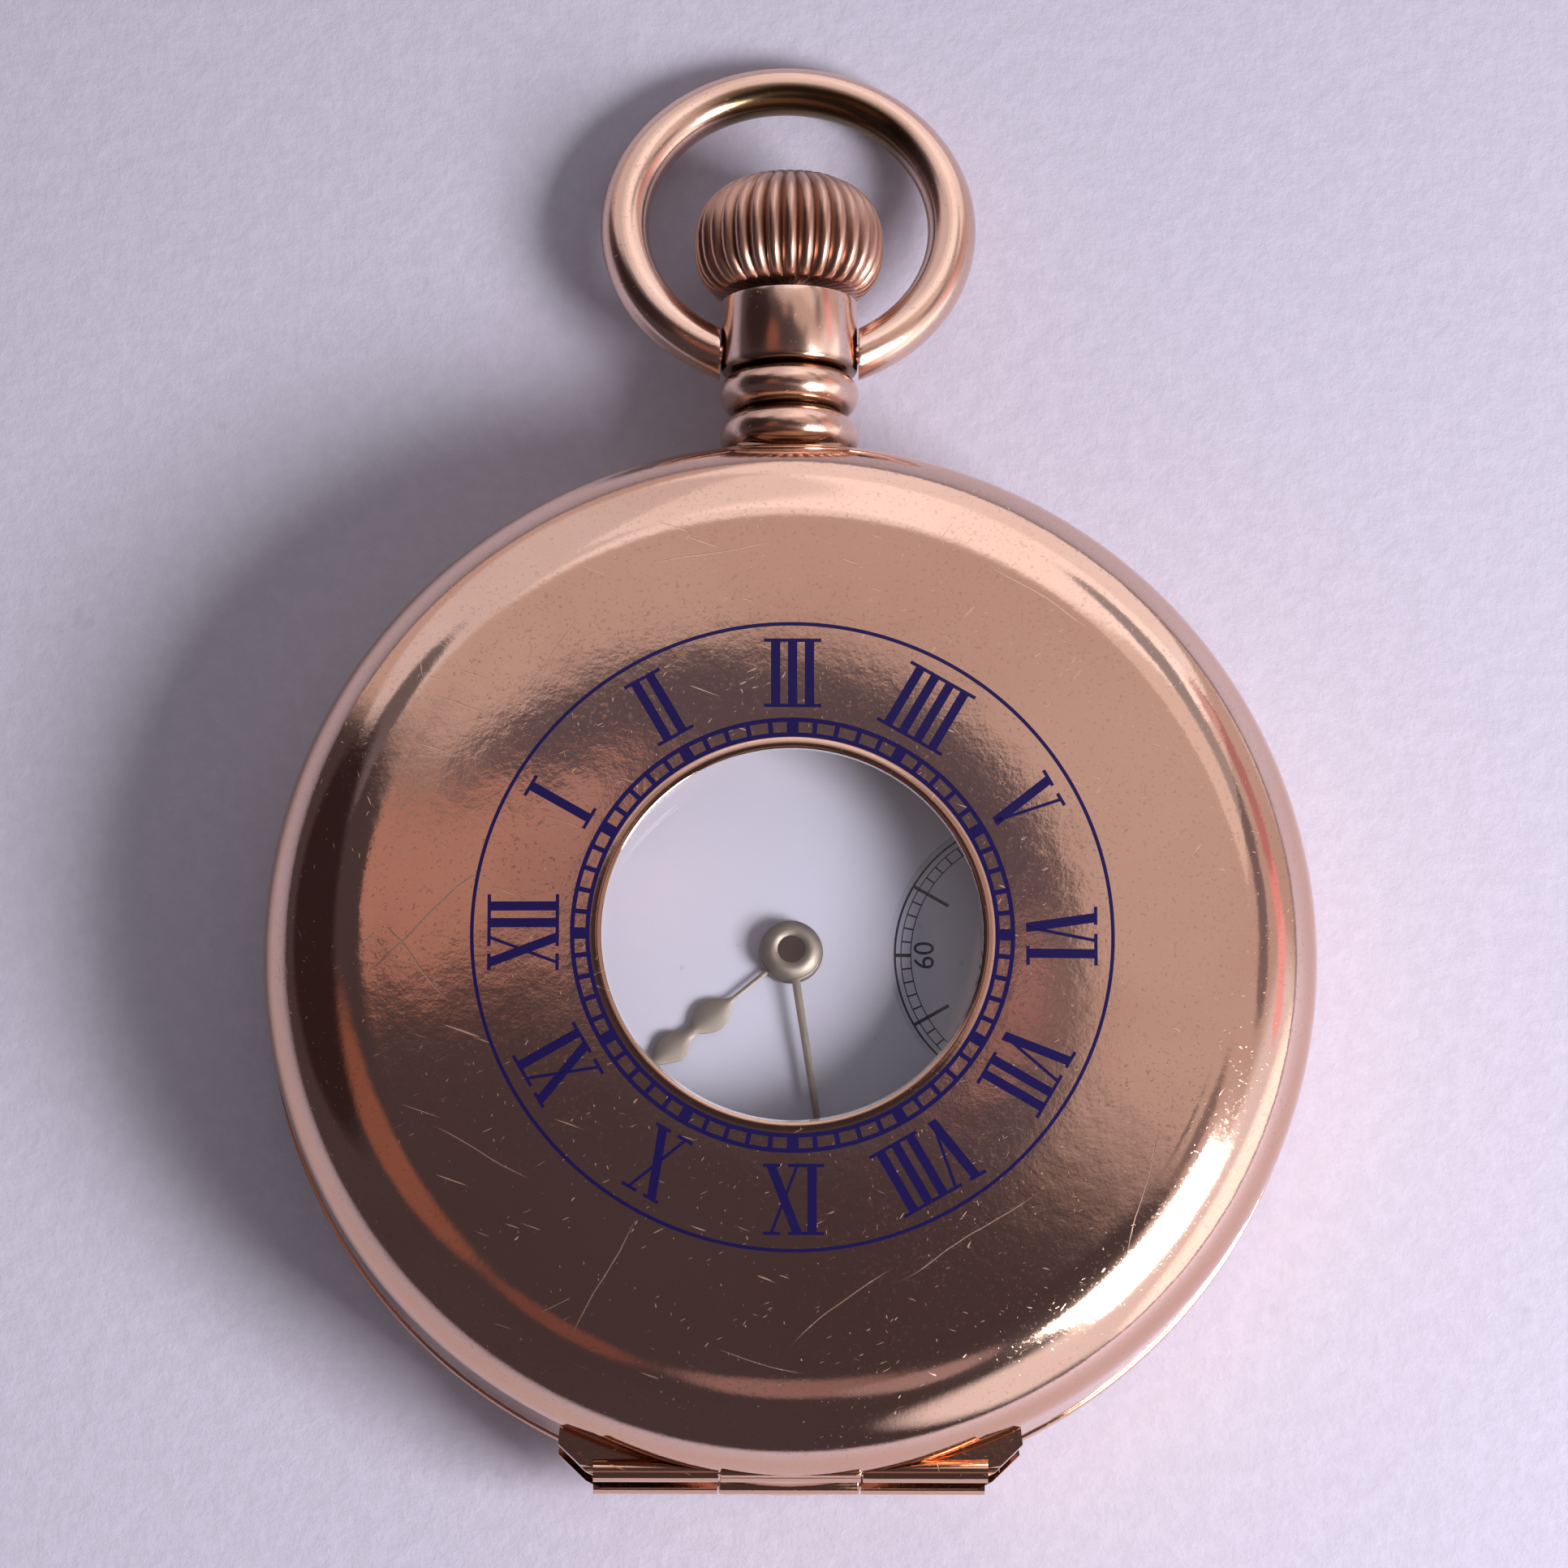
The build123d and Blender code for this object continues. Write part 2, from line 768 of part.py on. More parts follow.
# Crown: a fluted onion, lofted through star-shaped sections, with the steel sleeve that it carries
sections = []
for height_share, radius_share in zip(crown_height_shares, crown_radius_shares):
    outer = crown_radius * radius_share
    inner = outer - crown_flute_depth * radius_share
    points = []
    for index in range(crown_flutes):
        points.append(around(outer, index * 360 / crown_flutes))
        points.append(around(inner, (index + 0.5) * 360 / crown_flutes))
    star = make_face(Polyline(*points, close=True))
    sections.append(Pos(0, 0, crown_base_y + crown_height * height_share) * star)
crown = along_y * loft(sections, ruled=True)
crown -= rod_y(sleeve_radius, crown_base_y - overrun, crown_base_y + crown_height / 2, z=stem_z)
pieces["crown"] = crown
sleeve_top = crown_base_y + crown_height / 2
stem_bore = stem_radius + arbor_play
sleeve = rod_y(sleeve_radius, sleeve_end_y, sleeve_top, z=stem_z)
sleeve -= rod_y(stem_bore, sleeve_end_y - overrun, sleeve_top - overrun, z=stem_z)
pieces["crown_sleeve"] = sleeve

# Bezel and glass over the dial
bezel_top = collar_top_z + bezel_height
glass_high = dial_glass_z + dial_glass_thickness
pieces["bezel"] = turned(
    [
        (bezel_inner_radius, dial_top_z),
        (band_bore_radius - glass_play, dial_top_z),
        (band_bore_radius - glass_play, collar_top_z + bezel_rim_height),
        (dial_glass_radius, bezel_top),
        (dial_glass_radius, dial_glass_z),
        (bezel_inner_radius, dial_glass_z),
    ]
)
pieces["dial_glass"] = disc(dial_glass_radius, dial_glass_z, glass_high)

# Places of the arbors
centre_place = (0, 0)
fourth_place = (seconds_reach, 0)
centre_to_third = pitch_radius(centre_teeth + leaf_count, train_module)
third_to_fourth = pitch_radius(third_teeth + leaf_count, train_module_fine)
third_x = (centre_to_third**2 - third_to_fourth**2 + seconds_reach**2) / (2 * seconds_reach)
third_place = (third_x, sqrt(centre_to_third**2 - third_x**2))
fourth_to_escape = pitch_radius(fourth_teeth + escape_leaf_count, escape_module)
fourth_to_balance = hypot(balance_place[0] - fourth_place[0], balance_place[1] - fourth_place[1])
escape_angle = heading(fourth_place, balance_place) + escape_bearing
escape_place = around(fourth_to_escape, escape_angle, *fourth_place)
centre_to_barrel = pitch_radius(barrel_teeth + centre_leaf_count, barrel_module)
barrel_x = centre_to_barrel * barrel_place_share
barrel_place = (barrel_x, sqrt(centre_to_barrel**2 - barrel_x**2))
crown_to_ratchet = pitch_radius(crown_wheel_teeth + ratchet_teeth, winding_module)
crown_wheel_place = (0, barrel_place[1] + sqrt(crown_to_ratchet**2 - barrel_x**2))

def shared(shares, size):
    """Places given as shares of a size."""
    return [(x * size, y * size) for x, y in shares]


# Bridges and plate: the pillars under the plate carry the two bridges
barrel_side = plate(shared(split_shares + barrel_side_shares, bridge_radius), bridge_low_z, bridge_top_z)
train_side = plate(shared(split_shares + train_side_shares, bridge_radius), bridge_low_z, bridge_top_z)
bridge_disc = disc(bridge_radius, bridge_low_z, bridge_top_z)
bridge_disc -= disc(balance_cut_radius, bridge_low_z - overrun, bridge_top_z + overrun, *balance_place)
pinion_low_y = winding_pinion_y - winding_slot_play
pinion_high_y = winding_pinion_y + winding_pinion_length + winding_slot_play
winding_slot = block(
    -winding_slot_half_width,
    winding_slot_half_width,
    pinion_low_y,
    pinion_high_y,
    bridge_low_z - overrun,
    plate_top_z + overrun,
)
ratchet_tip = pitch_radius(ratchet_teeth, winding_module) + winding_module
crown_wheel_tip = pitch_radius(crown_wheel_teeth, winding_module) + winding_module
click_place = around(click_distance, click_bearing, *barrel_place)
recess_high = winding_low_z + ratchet_height + winding_recess_play
recess_low = bridge_low_z - overrun
barrel_bridge = (bridge_disc & barrel_side) - winding_slot
barrel_bridge -= disc(ratchet_tip + winding_rim_play, recess_low, recess_high, *barrel_place)
barrel_bridge -= disc(click_pocket_radius, recess_low, recess_high, *click_place)
crown_wheel_high = winding_low_z + crown_wheel_height
barrel_bridge -= disc(
    crown_wheel_tip + winding_rim_play,
    recess_low,
    crown_wheel_high + winding_recess_play,
    *crown_wheel_place,
)
train_bridge = bridge_disc & Pos(bridge_gap, -bridge_gap, 0) * train_side
train_bridge -= disc(
    cock_foot_radius + cock_play, bridge_low_z - overrun, bridge_top_z + overrun, *cock_foot_place
)
train_bridge -= along(
    balance_place,
    cock_foot_place,
    cock_arm_width + 2 * cock_play,
    bridge_low_z - overrun,
    bridge_top_z + overrun,
)
main_plate = disc(plate_radius, plate_low_z, plate_top_z)
pillars = shared(pillar_place_shares, bridge_radius)
for x, y in pillars:
    main_plate += disc(pillar_radius, bridge_top_z, plate_low_z, x, y)
inner_lug_high = stem_start_y + inner_lug_length
plate_edge_y = sqrt(ledge_radius**2 - lug_half_width**2) - arbor_play
for lug_start, lug_end in ((stem_start_y, inner_lug_high), (outer_lug_start_y, plate_edge_y)):
    main_plate += block(-lug_half_width, lug_half_width, lug_start, lug_end, lug_low_z, plate_low_z)
main_plate -= winding_slot
clutch_room = clutch_radius + winding_slot_play
main_plate -= block(
    -clutch_room,
    clutch_room,
    clutch_y - winding_slot_play,
    pinion_low_y + overrun,
    lug_low_z,
    stem_z + clutch_room,
)
main_plate -= rod_y(stem_bore, stem_start_y - overrun, plate_radius + overrun, z=stem_z)

# Motion work's places, and the recess in the plate that holds it
cannon_to_minute = pitch_radius(cannon_leaf_count + minute_wheel_teeth, motion_module)
minute_place = around(cannon_to_minute, minute_bearing)
minute_tip = pitch_radius(minute_wheel_teeth, motion_module) + motion_module
hour_tip = pitch_radius(hour_wheel_teeth, hour_module) + hour_module
for radius, place in ((hour_tip, centre_place), (minute_tip, minute_place)):
    main_plate -= disc(radius + recess_play, recess_z, plate_top_z + overrun, *place)

bore = arbor_radius + arbor_play
arbor_places = (centre_place, third_place, fourth_place, escape_place)
for place in arbor_places + (balance_place,):
    main_plate -= disc(bore, plate_low_z - overrun, plate_top_z + overrun, *place)
main_plate -= disc(barrel_arbor_radius + arbor_play, plate_low_z - overrun, recess_z, *barrel_place)
for place in arbor_places:
    train_bridge -= disc(bore, bridge_low_z - overrun, bridge_top_z + overrun, *place)
barrel_bridge -= disc(barrel_arbor_radius + arbor_play, bridge_low_z, bridge_top_z + overrun, *barrel_place)

def screw(place, low, high, head=screw_head_radius):
    """A screw's head, seated on what it holds; its slot is fine detail and isn't cut here."""
    return disc(head, low, high, *place)


head_low = bridge_low_z - screw_head_height
screws = [screw(place, head_low, bridge_low_z) for place in pillars + [cock_foot_place]]
pieces["bridge_screws"] = Compound(children=screws)

# Winding: stem, winding pinion and clutch, crown wheel, ratchet wheel and click
stem_end_y = sleeve_top - overrun - arbor_play - press_travel
pieces["stem"] = rod_y(stem_radius, stem_start_y, stem_end_y, z=stem_z)
crown_wheel_phase = 90.0
direction_to_ratchet = heading(crown_wheel_place, barrel_place)
ratchet_phase = meshed_phase(crown_wheel_phase, crown_wheel_teeth, direction_to_ratchet, ratchet_teeth)
crown_wheel_edge = wheel_outline(crown_wheel_teeth, winding_module, crown_wheel_phase)
crown_wheel = plate(crown_wheel_edge, winding_low_z, crown_wheel_high)
crown_wheel -= disc(core_radius / 2, winding_low_z - overrun, crown_wheel_high + overrun)
pieces["crown_wheel"] = Pos(*crown_wheel_place, 0) * crown_wheel
ratchet_high = winding_low_z + ratchet_height
ratchet = plate(wheel_outline(ratchet_teeth, winding_module, ratchet_phase), winding_low_z, ratchet_high)
ratchet -= disc(barrel_arbor_radius, winding_low_z - overrun, ratchet_high + overrun)
pieces["ratchet_wheel"] = Pos(*barrel_place, 0) * ratchet
core_low = winding_low_z - screw_head_height
crown_wheel_floor = crown_wheel_high + winding_recess_play
crown_wheel_core = disc(core_radius, core_low, winding_low_z - arbor_play)
crown_wheel_core += disc(core_radius / 2 - arbor_play, winding_low_z - arbor_play, crown_wheel_floor)
pieces["crown_wheel_core"] = Pos(*crown_wheel_place, 0) * crown_wheel_core
winding_gap_turn = -90 - 180 / winding_teeth
winding_edge = leaf_outline(winding_teeth, winding_module, winding_gap_turn)
winding_leaves = plate(winding_edge, 0, winding_pinion_length)
winding_leaves -= disc(stem_radius, -overrun, winding_pinion_length + overrun)
on_stem = Pos(0, winding_pinion_y, stem_z) * Rot(90, 0, 0)
pieces["winding_pinion"] = on_stem * Pos(0, 0, -winding_pinion_length) * winding_leaves
clutch = rod_y(clutch_radius, clutch_y, clutch_y + clutch_length, z=stem_z)
clutch_bore = rod_y(stem_radius, clutch_y - overrun, clutch_y + clutch_length + overrun, z=stem_z)
pieces["clutch"] = clutch - clutch_bore

to_ratchet = heading(click_place, barrel_place)
ratchet_root = pitch_radius(ratchet_teeth, winding_module)
ratchet_point = ratchet_root + click_point_share * winding_module
click_high = winding_low_z + click_height
beak = around(ratchet_point - click_beak_depth, click_bearing + click_beak_turn, *barrel_place)
beak_start = around(click_radius * click_edge_share, to_ratchet + click_edge_turn, *click_place)
beak_end = around(click_radius * click_edge_share, to_ratchet - click_back_turn, *click_place)
click = disc(click_radius, winding_low_z, click_high, *click_place)
click += plate([click_place, beak_start, beak, beak_end], winding_low_z, click_high)
click -= disc(bore, winding_low_z - overrun, click_high + overrun, *click_place)
pieces["click"] = click
click_stud = screw(click_place, core_low, winding_low_z - arbor_play)
click_head = disc(arbor_radius, winding_low_z - arbor_play, recess_high, *click_place)
pieces["click_screw"] = click_stud + click_head
spring_out = click_pocket_radius - arbor_play
click_spring = ring(spring_out, spring_out - click_spring_width, winding_low_z, recess_high, *click_place)
spring_half = [click_place]
for turn in click_spring_turns:
    spring_half.append(around(2 * click_pocket_radius, to_ratchet + turn, *click_place))
click_spring &= plate(spring_half, winding_low_z, recess_high)
click_spring += along(
    around(spring_out - click_spring_width / 2, to_ratchet + click_spring_turns[0], *click_place),
    around(click_radius + end_play, to_ratchet + click_spring_turns[0], *click_place),
    click_spring_width,
    winding_low_z,
    recess_high,
)
pieces["click_spring"] = click_spring

# Going barrel: the closed toothed drum that holds the mainspring, and its arbor
barrel_high = barrel_low_z + barrel_height
direction_to_barrel = heading(centre_place, barrel_place)
centre_phase = 0.0
barrel_phase = meshed_phase(centre_phase, centre_leaf_count, direction_to_barrel, barrel_teeth)
barrel = plate(
    wheel_outline(barrel_teeth, barrel_module, barrel_phase),
    barrel_teeth_low_z,
    barrel_teeth_low_z + barrel_teeth_height,
)
barrel += disc(barrel_drum_radius, barrel_low_z, barrel_high)
barrel -= disc(barrel_arbor_radius + arbor_play, barrel_low_z - overrun, barrel_high + overrun)
pieces["barrel"] = Pos(*barrel_place, 0) * barrel
barrel_arbor = disc(barrel_arbor_radius, winding_low_z, recess_z - end_play)
pieces["barrel_arbor"] = Pos(*barrel_place, 0) * barrel_arbor
pieces["ratchet_screw"] = screw(barrel_place, core_low, winding_low_z, core_radius)

# Train: each wheel is riveted on the pinion of its own arbor
arbor_low = bridge_low_z + end_play
arbor_high = plate_low_z + overrun


def mesh_span(wheel_low, wheel_height):
    """The heights between which a pinion's leaves cover the wheel that drives them."""
    return wheel_low - leaf_reach, wheel_low + wheel_height + leaf_reach


def arbor(place, teeth, module, phase, leaves, ends):
    """A pinion and its arbor, in one piece."""
    return pinion(teeth, module, phase, *leaves, place) + disc(arbor_radius, *ends, *place)


third_direction = heading(centre_place, third_place)
third_phase = meshed_phase(centre_phase, centre_teeth, third_direction, leaf_count)
fourth_direction = heading(third_place, fourth_place)
fourth_phase = meshed_phase(third_phase, third_teeth, fourth_direction, leaf_count)
escape_direction = heading(fourth_place, escape_place)
escape_phase = meshed_phase(fourth_phase, fourth_teeth, escape_direction, escape_leaf_count)
pieces["centre_pinion"] = arbor(
    centre_place,
    centre_leaf_count,
    barrel_module,
    centre_phase,
    mesh_span(barrel_teeth_low_z, barrel_teeth_height),
    (bridge_low_z, cannon_top_z - hand_thickness),
)
pieces["third_pinion"] = arbor(
    third_place,
    leaf_count,
    train_module,
    third_phase,
    mesh_span(centre_wheel_low_z, wheel_thickness),
    (arbor_low, arbor_high),
)
pieces["fourth_pinion"] = arbor(
    fourth_place,
    leaf_count,
    train_module_fine,
    fourth_phase,
    mesh_span(third_wheel_low_z, wheel_thickness),
    (arbor_low, seconds_hand_z + seconds_hand_thickness),
)
pieces["escape_pinion"] = arbor(
    escape_place,
    escape_leaf_count,
    escape_module,
    escape_phase,
    mesh_span(fourth_wheel_low_z, wheel_thickness),
    (arbor_low, arbor_high),
)
pieces["centre_wheel"] = spoked_wheel(
    centre_teeth, train_module, centre_phase, centre_wheel_low_z, centre_place, 5
)
pieces["third_wheel"] = spoked_wheel(
    third_teeth, train_module_fine, third_phase, third_wheel_low_z, third_place, 5
)
pieces["fourth_wheel"] = spoked_wheel(
    fourth_teeth, escape_module, fourth_phase, fourth_wheel_low_z, fourth_place, 5
)

# Escapement: escape wheel, lever with its two stones, and the small bridge that carries it
to_balance = heading(escape_place, balance_place)
escape_points = []
for index in range(escape_teeth):
    angle = to_balance + (index + escape_turn_share) * 360 / escape_teeth
    escape_points.append(around(escape_radius * escape_root_share, angle - tooth_lean))
    escape_points.append(around(escape_radius, angle))
    escape_points.append(around(escape_radius, angle + tooth_face))
    escape_points.append(around(escape_radius * escape_root_share, angle + tooth_face))
escape_high = escape_wheel_low_z + wheel_thickness
escape_wheel = plate(escape_points, escape_wheel_low_z, escape_high)
escape_window = ring(
    escape_radius * escape_rim_share, hub_radius, escape_wheel_low_z - overrun, escape_high + overrun
)
for index in range(4):
    arm = block(
        0,
        escape_radius,
        -spoke_width / 2,
        spoke_width / 2,
        escape_wheel_low_z - overrun,
        escape_high + overrun,
    )
    escape_window -= Rot(0, 0, index * 360 / 4) * arm
escape_wheel -= escape_window
escape_wheel -= disc(arbor_radius, escape_wheel_low_z - overrun, escape_high + overrun)
pieces["escape_wheel"] = Pos(*escape_place, 0) * escape_wheel

lever_place = around(escape_radius * lever_place_share, to_balance, *escape_place)
lever_to_balance = hypot(balance_place[0] - lever_place[0], balance_place[1] - lever_place[1])
lever_high = lever_low_z + lever_height
fork_start = lever_to_balance - impulse_pin_place_radius - fork_back
fork_end = lever_to_balance - impulse_pin_place_radius + fork_reach


def toward_balance(x_low, x_high, half_width, low, high):
    """A block laid out from the lever's staff towards the balance."""
    bar = block(x_low, x_high, -half_width, half_width, low, high)
    return Pos(*lever_place, 0) * Rot(0, 0, to_balance) * bar


lever = disc(hub_radius / 2 + arbor_radius, lever_low_z, lever_high, *lever_place)
lever += toward_balance(0, fork_start + overrun, lever_width / 2, lever_low_z, lever_high)
lever += toward_balance(fork_start, fork_end, fork_width / 2, lever_low_z, lever_high)
lever -= toward_balance(
    fork_start + fork_back / 2,
    fork_end + overrun,
    fork_notch_width / 2,
    lever_low_z - overrun,
    lever_high + overrun,
)
stones = []
for side in (-1, 1):
    stone_angle = to_balance + side * stone_spread
    stone_tip = around(escape_radius - stone_bite, stone_angle, *escape_place)
    stone_base = around(escape_radius - stone_bite + stone_length, stone_angle, *escape_place)
    arm_end = around(escape_radius - stone_bite + stone_length / 2, stone_angle, *escape_place)
    pallet_tip = around(escape_radius + stone_length, stone_angle, *escape_place)
    lever += along(lever_place, pallet_tip, lever_width, lever_low_z, lever_high)
    stone = along(stone_tip, stone_base, stone_width, lever_low_z, lever_high)
    stones.append(stone)
for stone in stones:
    lever -= stone
lever -= disc(arbor_radius, lever_low_z - overrun, lever_high + overrun, *lever_place)
pieces["lever"] = lever
pieces["lever_stones"] = Compound(children=stones)
lever_bridge_high = lever_bridge_low_z + lever_bridge_height
pieces["lever_arbor"] = disc(arbor_radius, lever_bridge_low_z, arbor_high, *lever_place)
lever_bridge = along(lever_place, lever_foot_place, fork_width, lever_bridge_low_z, lever_bridge_high)
lever_bridge += disc(lever_foot_radius, lever_bridge_low_z, plate_low_z, *lever_foot_place)
lever_bridge += disc(fork_width / 2, lever_bridge_low_z, lever_bridge_high, *lever_place)
lever_bridge -= disc(bore, lever_bridge_low_z - overrun, lever_bridge_high + overrun, *lever_place)
pieces["lever_bridge"] = lever_bridge
main_plate -= disc(bore, plate_low_z - overrun, plate_top_z + overrun, *lever_place)

# Balance with its staff and roller, hairspring, cock and regulator
balance_high = balance_low_z + balance_rim_height
balance = ring(balance_radius, balance_radius - balance_rim_width, balance_low_z, balance_high)
balance_floor = balance_low_z + wheel_thickness
arm_reach = balance_radius - balance_rim_width / 2
balance += block(
    -arm_reach, arm_reach, -balance_arm_width / 2, balance_arm_width / 2, balance_low_z, balance_floor
)
balance += disc(hub_radius, balance_low_z, balance_floor)
balance -= disc(arbor_radius, balance_low_z - overrun, balance_floor + overrun)
balance_turned = Pos(*balance_place, 0) * Rot(0, 0, balance_rest_turn)
pieces["balance_wheel"] = balance_turned * balance
staff_low = bridge_low_z + jewel_height + end_play
pieces["balance_staff"] = disc(arbor_radius, staff_low, arbor_high, *balance_place)
roller_high = roller_low_z + roller_height
roller = ring(roller_radius, arbor_radius, roller_low_z, roller_high)
roller += disc(impulse_pin_radius, roller_low_z, impulse_pin_top_z, x=impulse_pin_place_radius)
pieces["roller"] = Pos(*balance_place, 0) * Rot(0, 0, to_balance + 180 + balance_rest_turn) * roller

cock_high = bridge_low_z + cock_thickness
cock_length = hypot(cock_foot_place[0] - balance_place[0], cock_foot_place[1] - balance_place[1])
cock = along(balance_place, cock_foot_place, cock_arm_width, bridge_low_z, cock_high)
cock += disc(cock_end_radius, bridge_low_z, cock_high, *balance_place)
cock += disc(cock_foot_radius, bridge_low_z, plate_low_z, *cock_foot_place)
cock -= disc(bore, bridge_low_z, cock_high + overrun, *balance_place)
cock -= disc(jewel_radius, bridge_low_z - overrun, bridge_low_z + jewel_height, *balance_place)
pieces["end_stone"] = disc(jewel_radius, regulator_low_z, bridge_low_z + jewel_height, *balance_place)
pieces["balance_cock"] = cock
regulator_high = regulator_low_z + regulator_height
regulator = disc(regulator_radius, regulator_low_z, regulator_high)
regulator += plate(
    [
        (0, -spoke_width),
        (regulator_length, -spoke_width / 4),
        (regulator_length, spoke_width / 4),
        (0, spoke_width),
    ],
    regulator_low_z,
    regulator_high,
)
regulator -= disc(jewel_radius + arbor_play, regulator_low_z - overrun, regulator_high + overrun)
pieces["regulator"] = Pos(*balance_place, 0) * Rot(0, 0, regulator_bearing) * regulator


def spiral_side(offset):
    """Half circles about two centres in turn, each wider than the last, offset from the middle line."""
    arcs = []
    for half_turn in range(hairspring_half_turns):
        middle_x = hairspring_pitch / 2 * (half_turn % 2)
        side = 1 - 2 * (half_turn % 2)
        radius = hairspring_start_radius + half_turn * hairspring_pitch / 2 + offset
        start, end = (middle_x + side * radius, 0), (middle_x - side * radius, 0)
        arcs.append(ThreePointArc(start, (middle_x, side * radius), end))
    return arcs


outer_side = spiral_side(hairspring_width / 2)
inner_side = spiral_side(-hairspring_width / 2)
ends = [Line(outer_side[0] @ 0, inner_side[0] @ 0), Line(outer_side[-1] @ 1, inner_side[-1] @ 1)]
hairspring = extrude(make_face(outer_side + inner_side + ends), hairspring_height)
pieces["hairspring"] = Pos(*balance_place, hairspring_low_z) * hairspring
least_gap = hairspring_pitch - hairspring_width
for step in range(hairspring_half_turns * 8):
    turn = step / 8
    if turn + 2 < hairspring_half_turns:
        line_here = outer_side[int(turn)] @ (turn % 1)
        line_next = inner_side[int(turn) + 2] @ (turn % 1)
        least_gap = min(least_gap, (line_next - line_here).length)
print("hairspring's least gap", round(least_gap, 3))

# Motion work under the dial
cannon_phase = 0.0
minute_phase = meshed_phase(cannon_phase, cannon_leaf_count, minute_bearing, minute_wheel_teeth)
hour_phase = meshed_phase(0.0, minute_leaf_count, minute_bearing + 180, hour_wheel_teeth)
motion_high = motion_wheel_low_z + wheel_thickness
cannon_span = mesh_span(motion_wheel_low_z, wheel_thickness)
cannon = pinion(cannon_leaf_count, motion_module, cannon_phase, *cannon_span, centre_place)
cannon += disc(cannon_radius, motion_wheel_low_z, cannon_top_z)
cannon -= disc(bore, recess_z - overrun, cannon_top_z - hand_thickness + end_play)
pieces["cannon_pinion"] = cannon
minute_wheel = plate(
    wheel_outline(minute_wheel_teeth, motion_module, minute_phase), motion_wheel_low_z, motion_high
)
minute_wheel += plate(
    leaf_outline(minute_leaf_count, hour_module, 0),
    motion_high,
    hour_wheel_low_z + wheel_thickness + pin_play,
)
minute_wheel -= disc(bore, motion_wheel_low_z - overrun, hour_wheel_low_z + overrun)
pieces["minute_wheel"] = Pos(*minute_place, 0) * minute_wheel
hour_wheel = plate(
    wheel_outline(hour_wheel_teeth, hour_module, hour_phase),
    hour_wheel_low_z,
    hour_wheel_low_z + wheel_thickness,
)
hour_wheel += disc(hour_pipe_radius, hour_wheel_low_z, hour_pipe_top_z)
hour_wheel -= disc(cannon_radius + arbor_play, hour_wheel_low_z - overrun, hour_pipe_top_z + overrun)
pieces["hour_wheel"] = hour_wheel
main_plate += disc(arbor_radius, recess_z, motion_high, *minute_place)
pieces["main_plate"] = main_plate
pieces["barrel_bridge"] = barrel_bridge
pieces["train_bridge"] = train_bridge

# Dial, seconds dial and hands
dial = disc(dial_radius, plate_top_z, dial_top_z)
dial -= disc(dial_hole_radius, plate_top_z - overrun, dial_top_z + overrun)
dial -= disc(seconds_dial_radius, plate_top_z - overrun, dial_top_z + overrun, *fourth_place)
pieces["dial"] = dial
seconds_dial_top = dial_top_z - seconds_dial_sink
pieces["seconds_dial"] = ring(
    seconds_dial_radius, arbor_radius + glass_play, plate_top_z, seconds_dial_top, *fourth_place
)


def hand(length, shares, boss, bored, low, high, angle, place):
    """A flat hand: a boss on its pipe and a blade whose half width follows a table of shares."""
    points = [(along_share * length, half_share * length) for along_share, half_share in shares]
    outline = points + [(length, 0)] + [(x, -y) for x, y in reversed(points)]
    blade = plate(outline, low, high) + disc(boss, low, high)
    blade -= disc(bored, low - overrun, high + overrun)
    return Pos(*place, 0) * Rot(0, 0, angle) * blade


pieces["hour_hand"] = hand(
    hour_hand_length,
    hour_hand_shares,
    hour_boss_radius,
    hour_pipe_radius,
    hour_hand_z,
    hour_hand_z + hand_thickness,
    hour_hand_angle,
    centre_place,
)
pieces["minute_hand"] = hand(
    minute_hand_length,
    minute_hand_shares,
    minute_boss_radius,
    cannon_radius,
    minute_hand_z,
    minute_hand_z + hand_thickness,
    minute_hand_angle,
    centre_place,
)
seconds_hand = hand(
    seconds_hand_length,
    seconds_hand_shares,
    seconds_boss_radius,
    arbor_radius,
    seconds_hand_z,
    seconds_hand_z + seconds_hand_thickness,
    seconds_hand_angle,
    fourth_place,
)
pieces["seconds_hand"] = seconds_hand

for name, shape in pieces.items():
    shape.label = name
    export_step(shape, f"parts/{name}.step")
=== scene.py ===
from math import atan2, cos, hypot, pi, radians, sin, sqrt

import bmesh
import bpy
from bpy.props import FloatProperty, FloatVectorProperty, IntProperty, PointerProperty
from mathutils import Matrix, Vector


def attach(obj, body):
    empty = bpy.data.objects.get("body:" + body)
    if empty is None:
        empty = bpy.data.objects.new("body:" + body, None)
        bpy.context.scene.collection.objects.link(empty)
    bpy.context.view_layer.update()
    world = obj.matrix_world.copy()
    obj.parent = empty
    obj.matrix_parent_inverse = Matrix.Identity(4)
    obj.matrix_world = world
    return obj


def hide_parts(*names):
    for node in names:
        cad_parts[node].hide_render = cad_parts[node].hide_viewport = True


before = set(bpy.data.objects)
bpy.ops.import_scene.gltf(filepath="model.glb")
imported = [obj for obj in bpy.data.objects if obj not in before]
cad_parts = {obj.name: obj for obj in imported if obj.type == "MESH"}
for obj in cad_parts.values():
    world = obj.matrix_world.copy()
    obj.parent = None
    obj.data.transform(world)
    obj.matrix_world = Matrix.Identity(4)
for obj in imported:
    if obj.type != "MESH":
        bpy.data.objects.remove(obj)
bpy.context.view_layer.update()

bl_info = {
    "name": "Half hunter pocket watch",
    "version": (1, 0, 0),
    "blender": (4, 5, 0),
    "location": "View3D > Sidebar > Watch",
    "description": "Dresses the packed model of a half hunter pocket watch",
    "category": "Add Mesh",
}

# A millimetre, and how near vertices lie that become one, both in metres
MM = 0.001
JOIN = 1e-7
QUARTER = pi / 2
TURN = 2 * pi
ALONG_Y = Matrix.Rotation(-QUARTER, 4, "X")

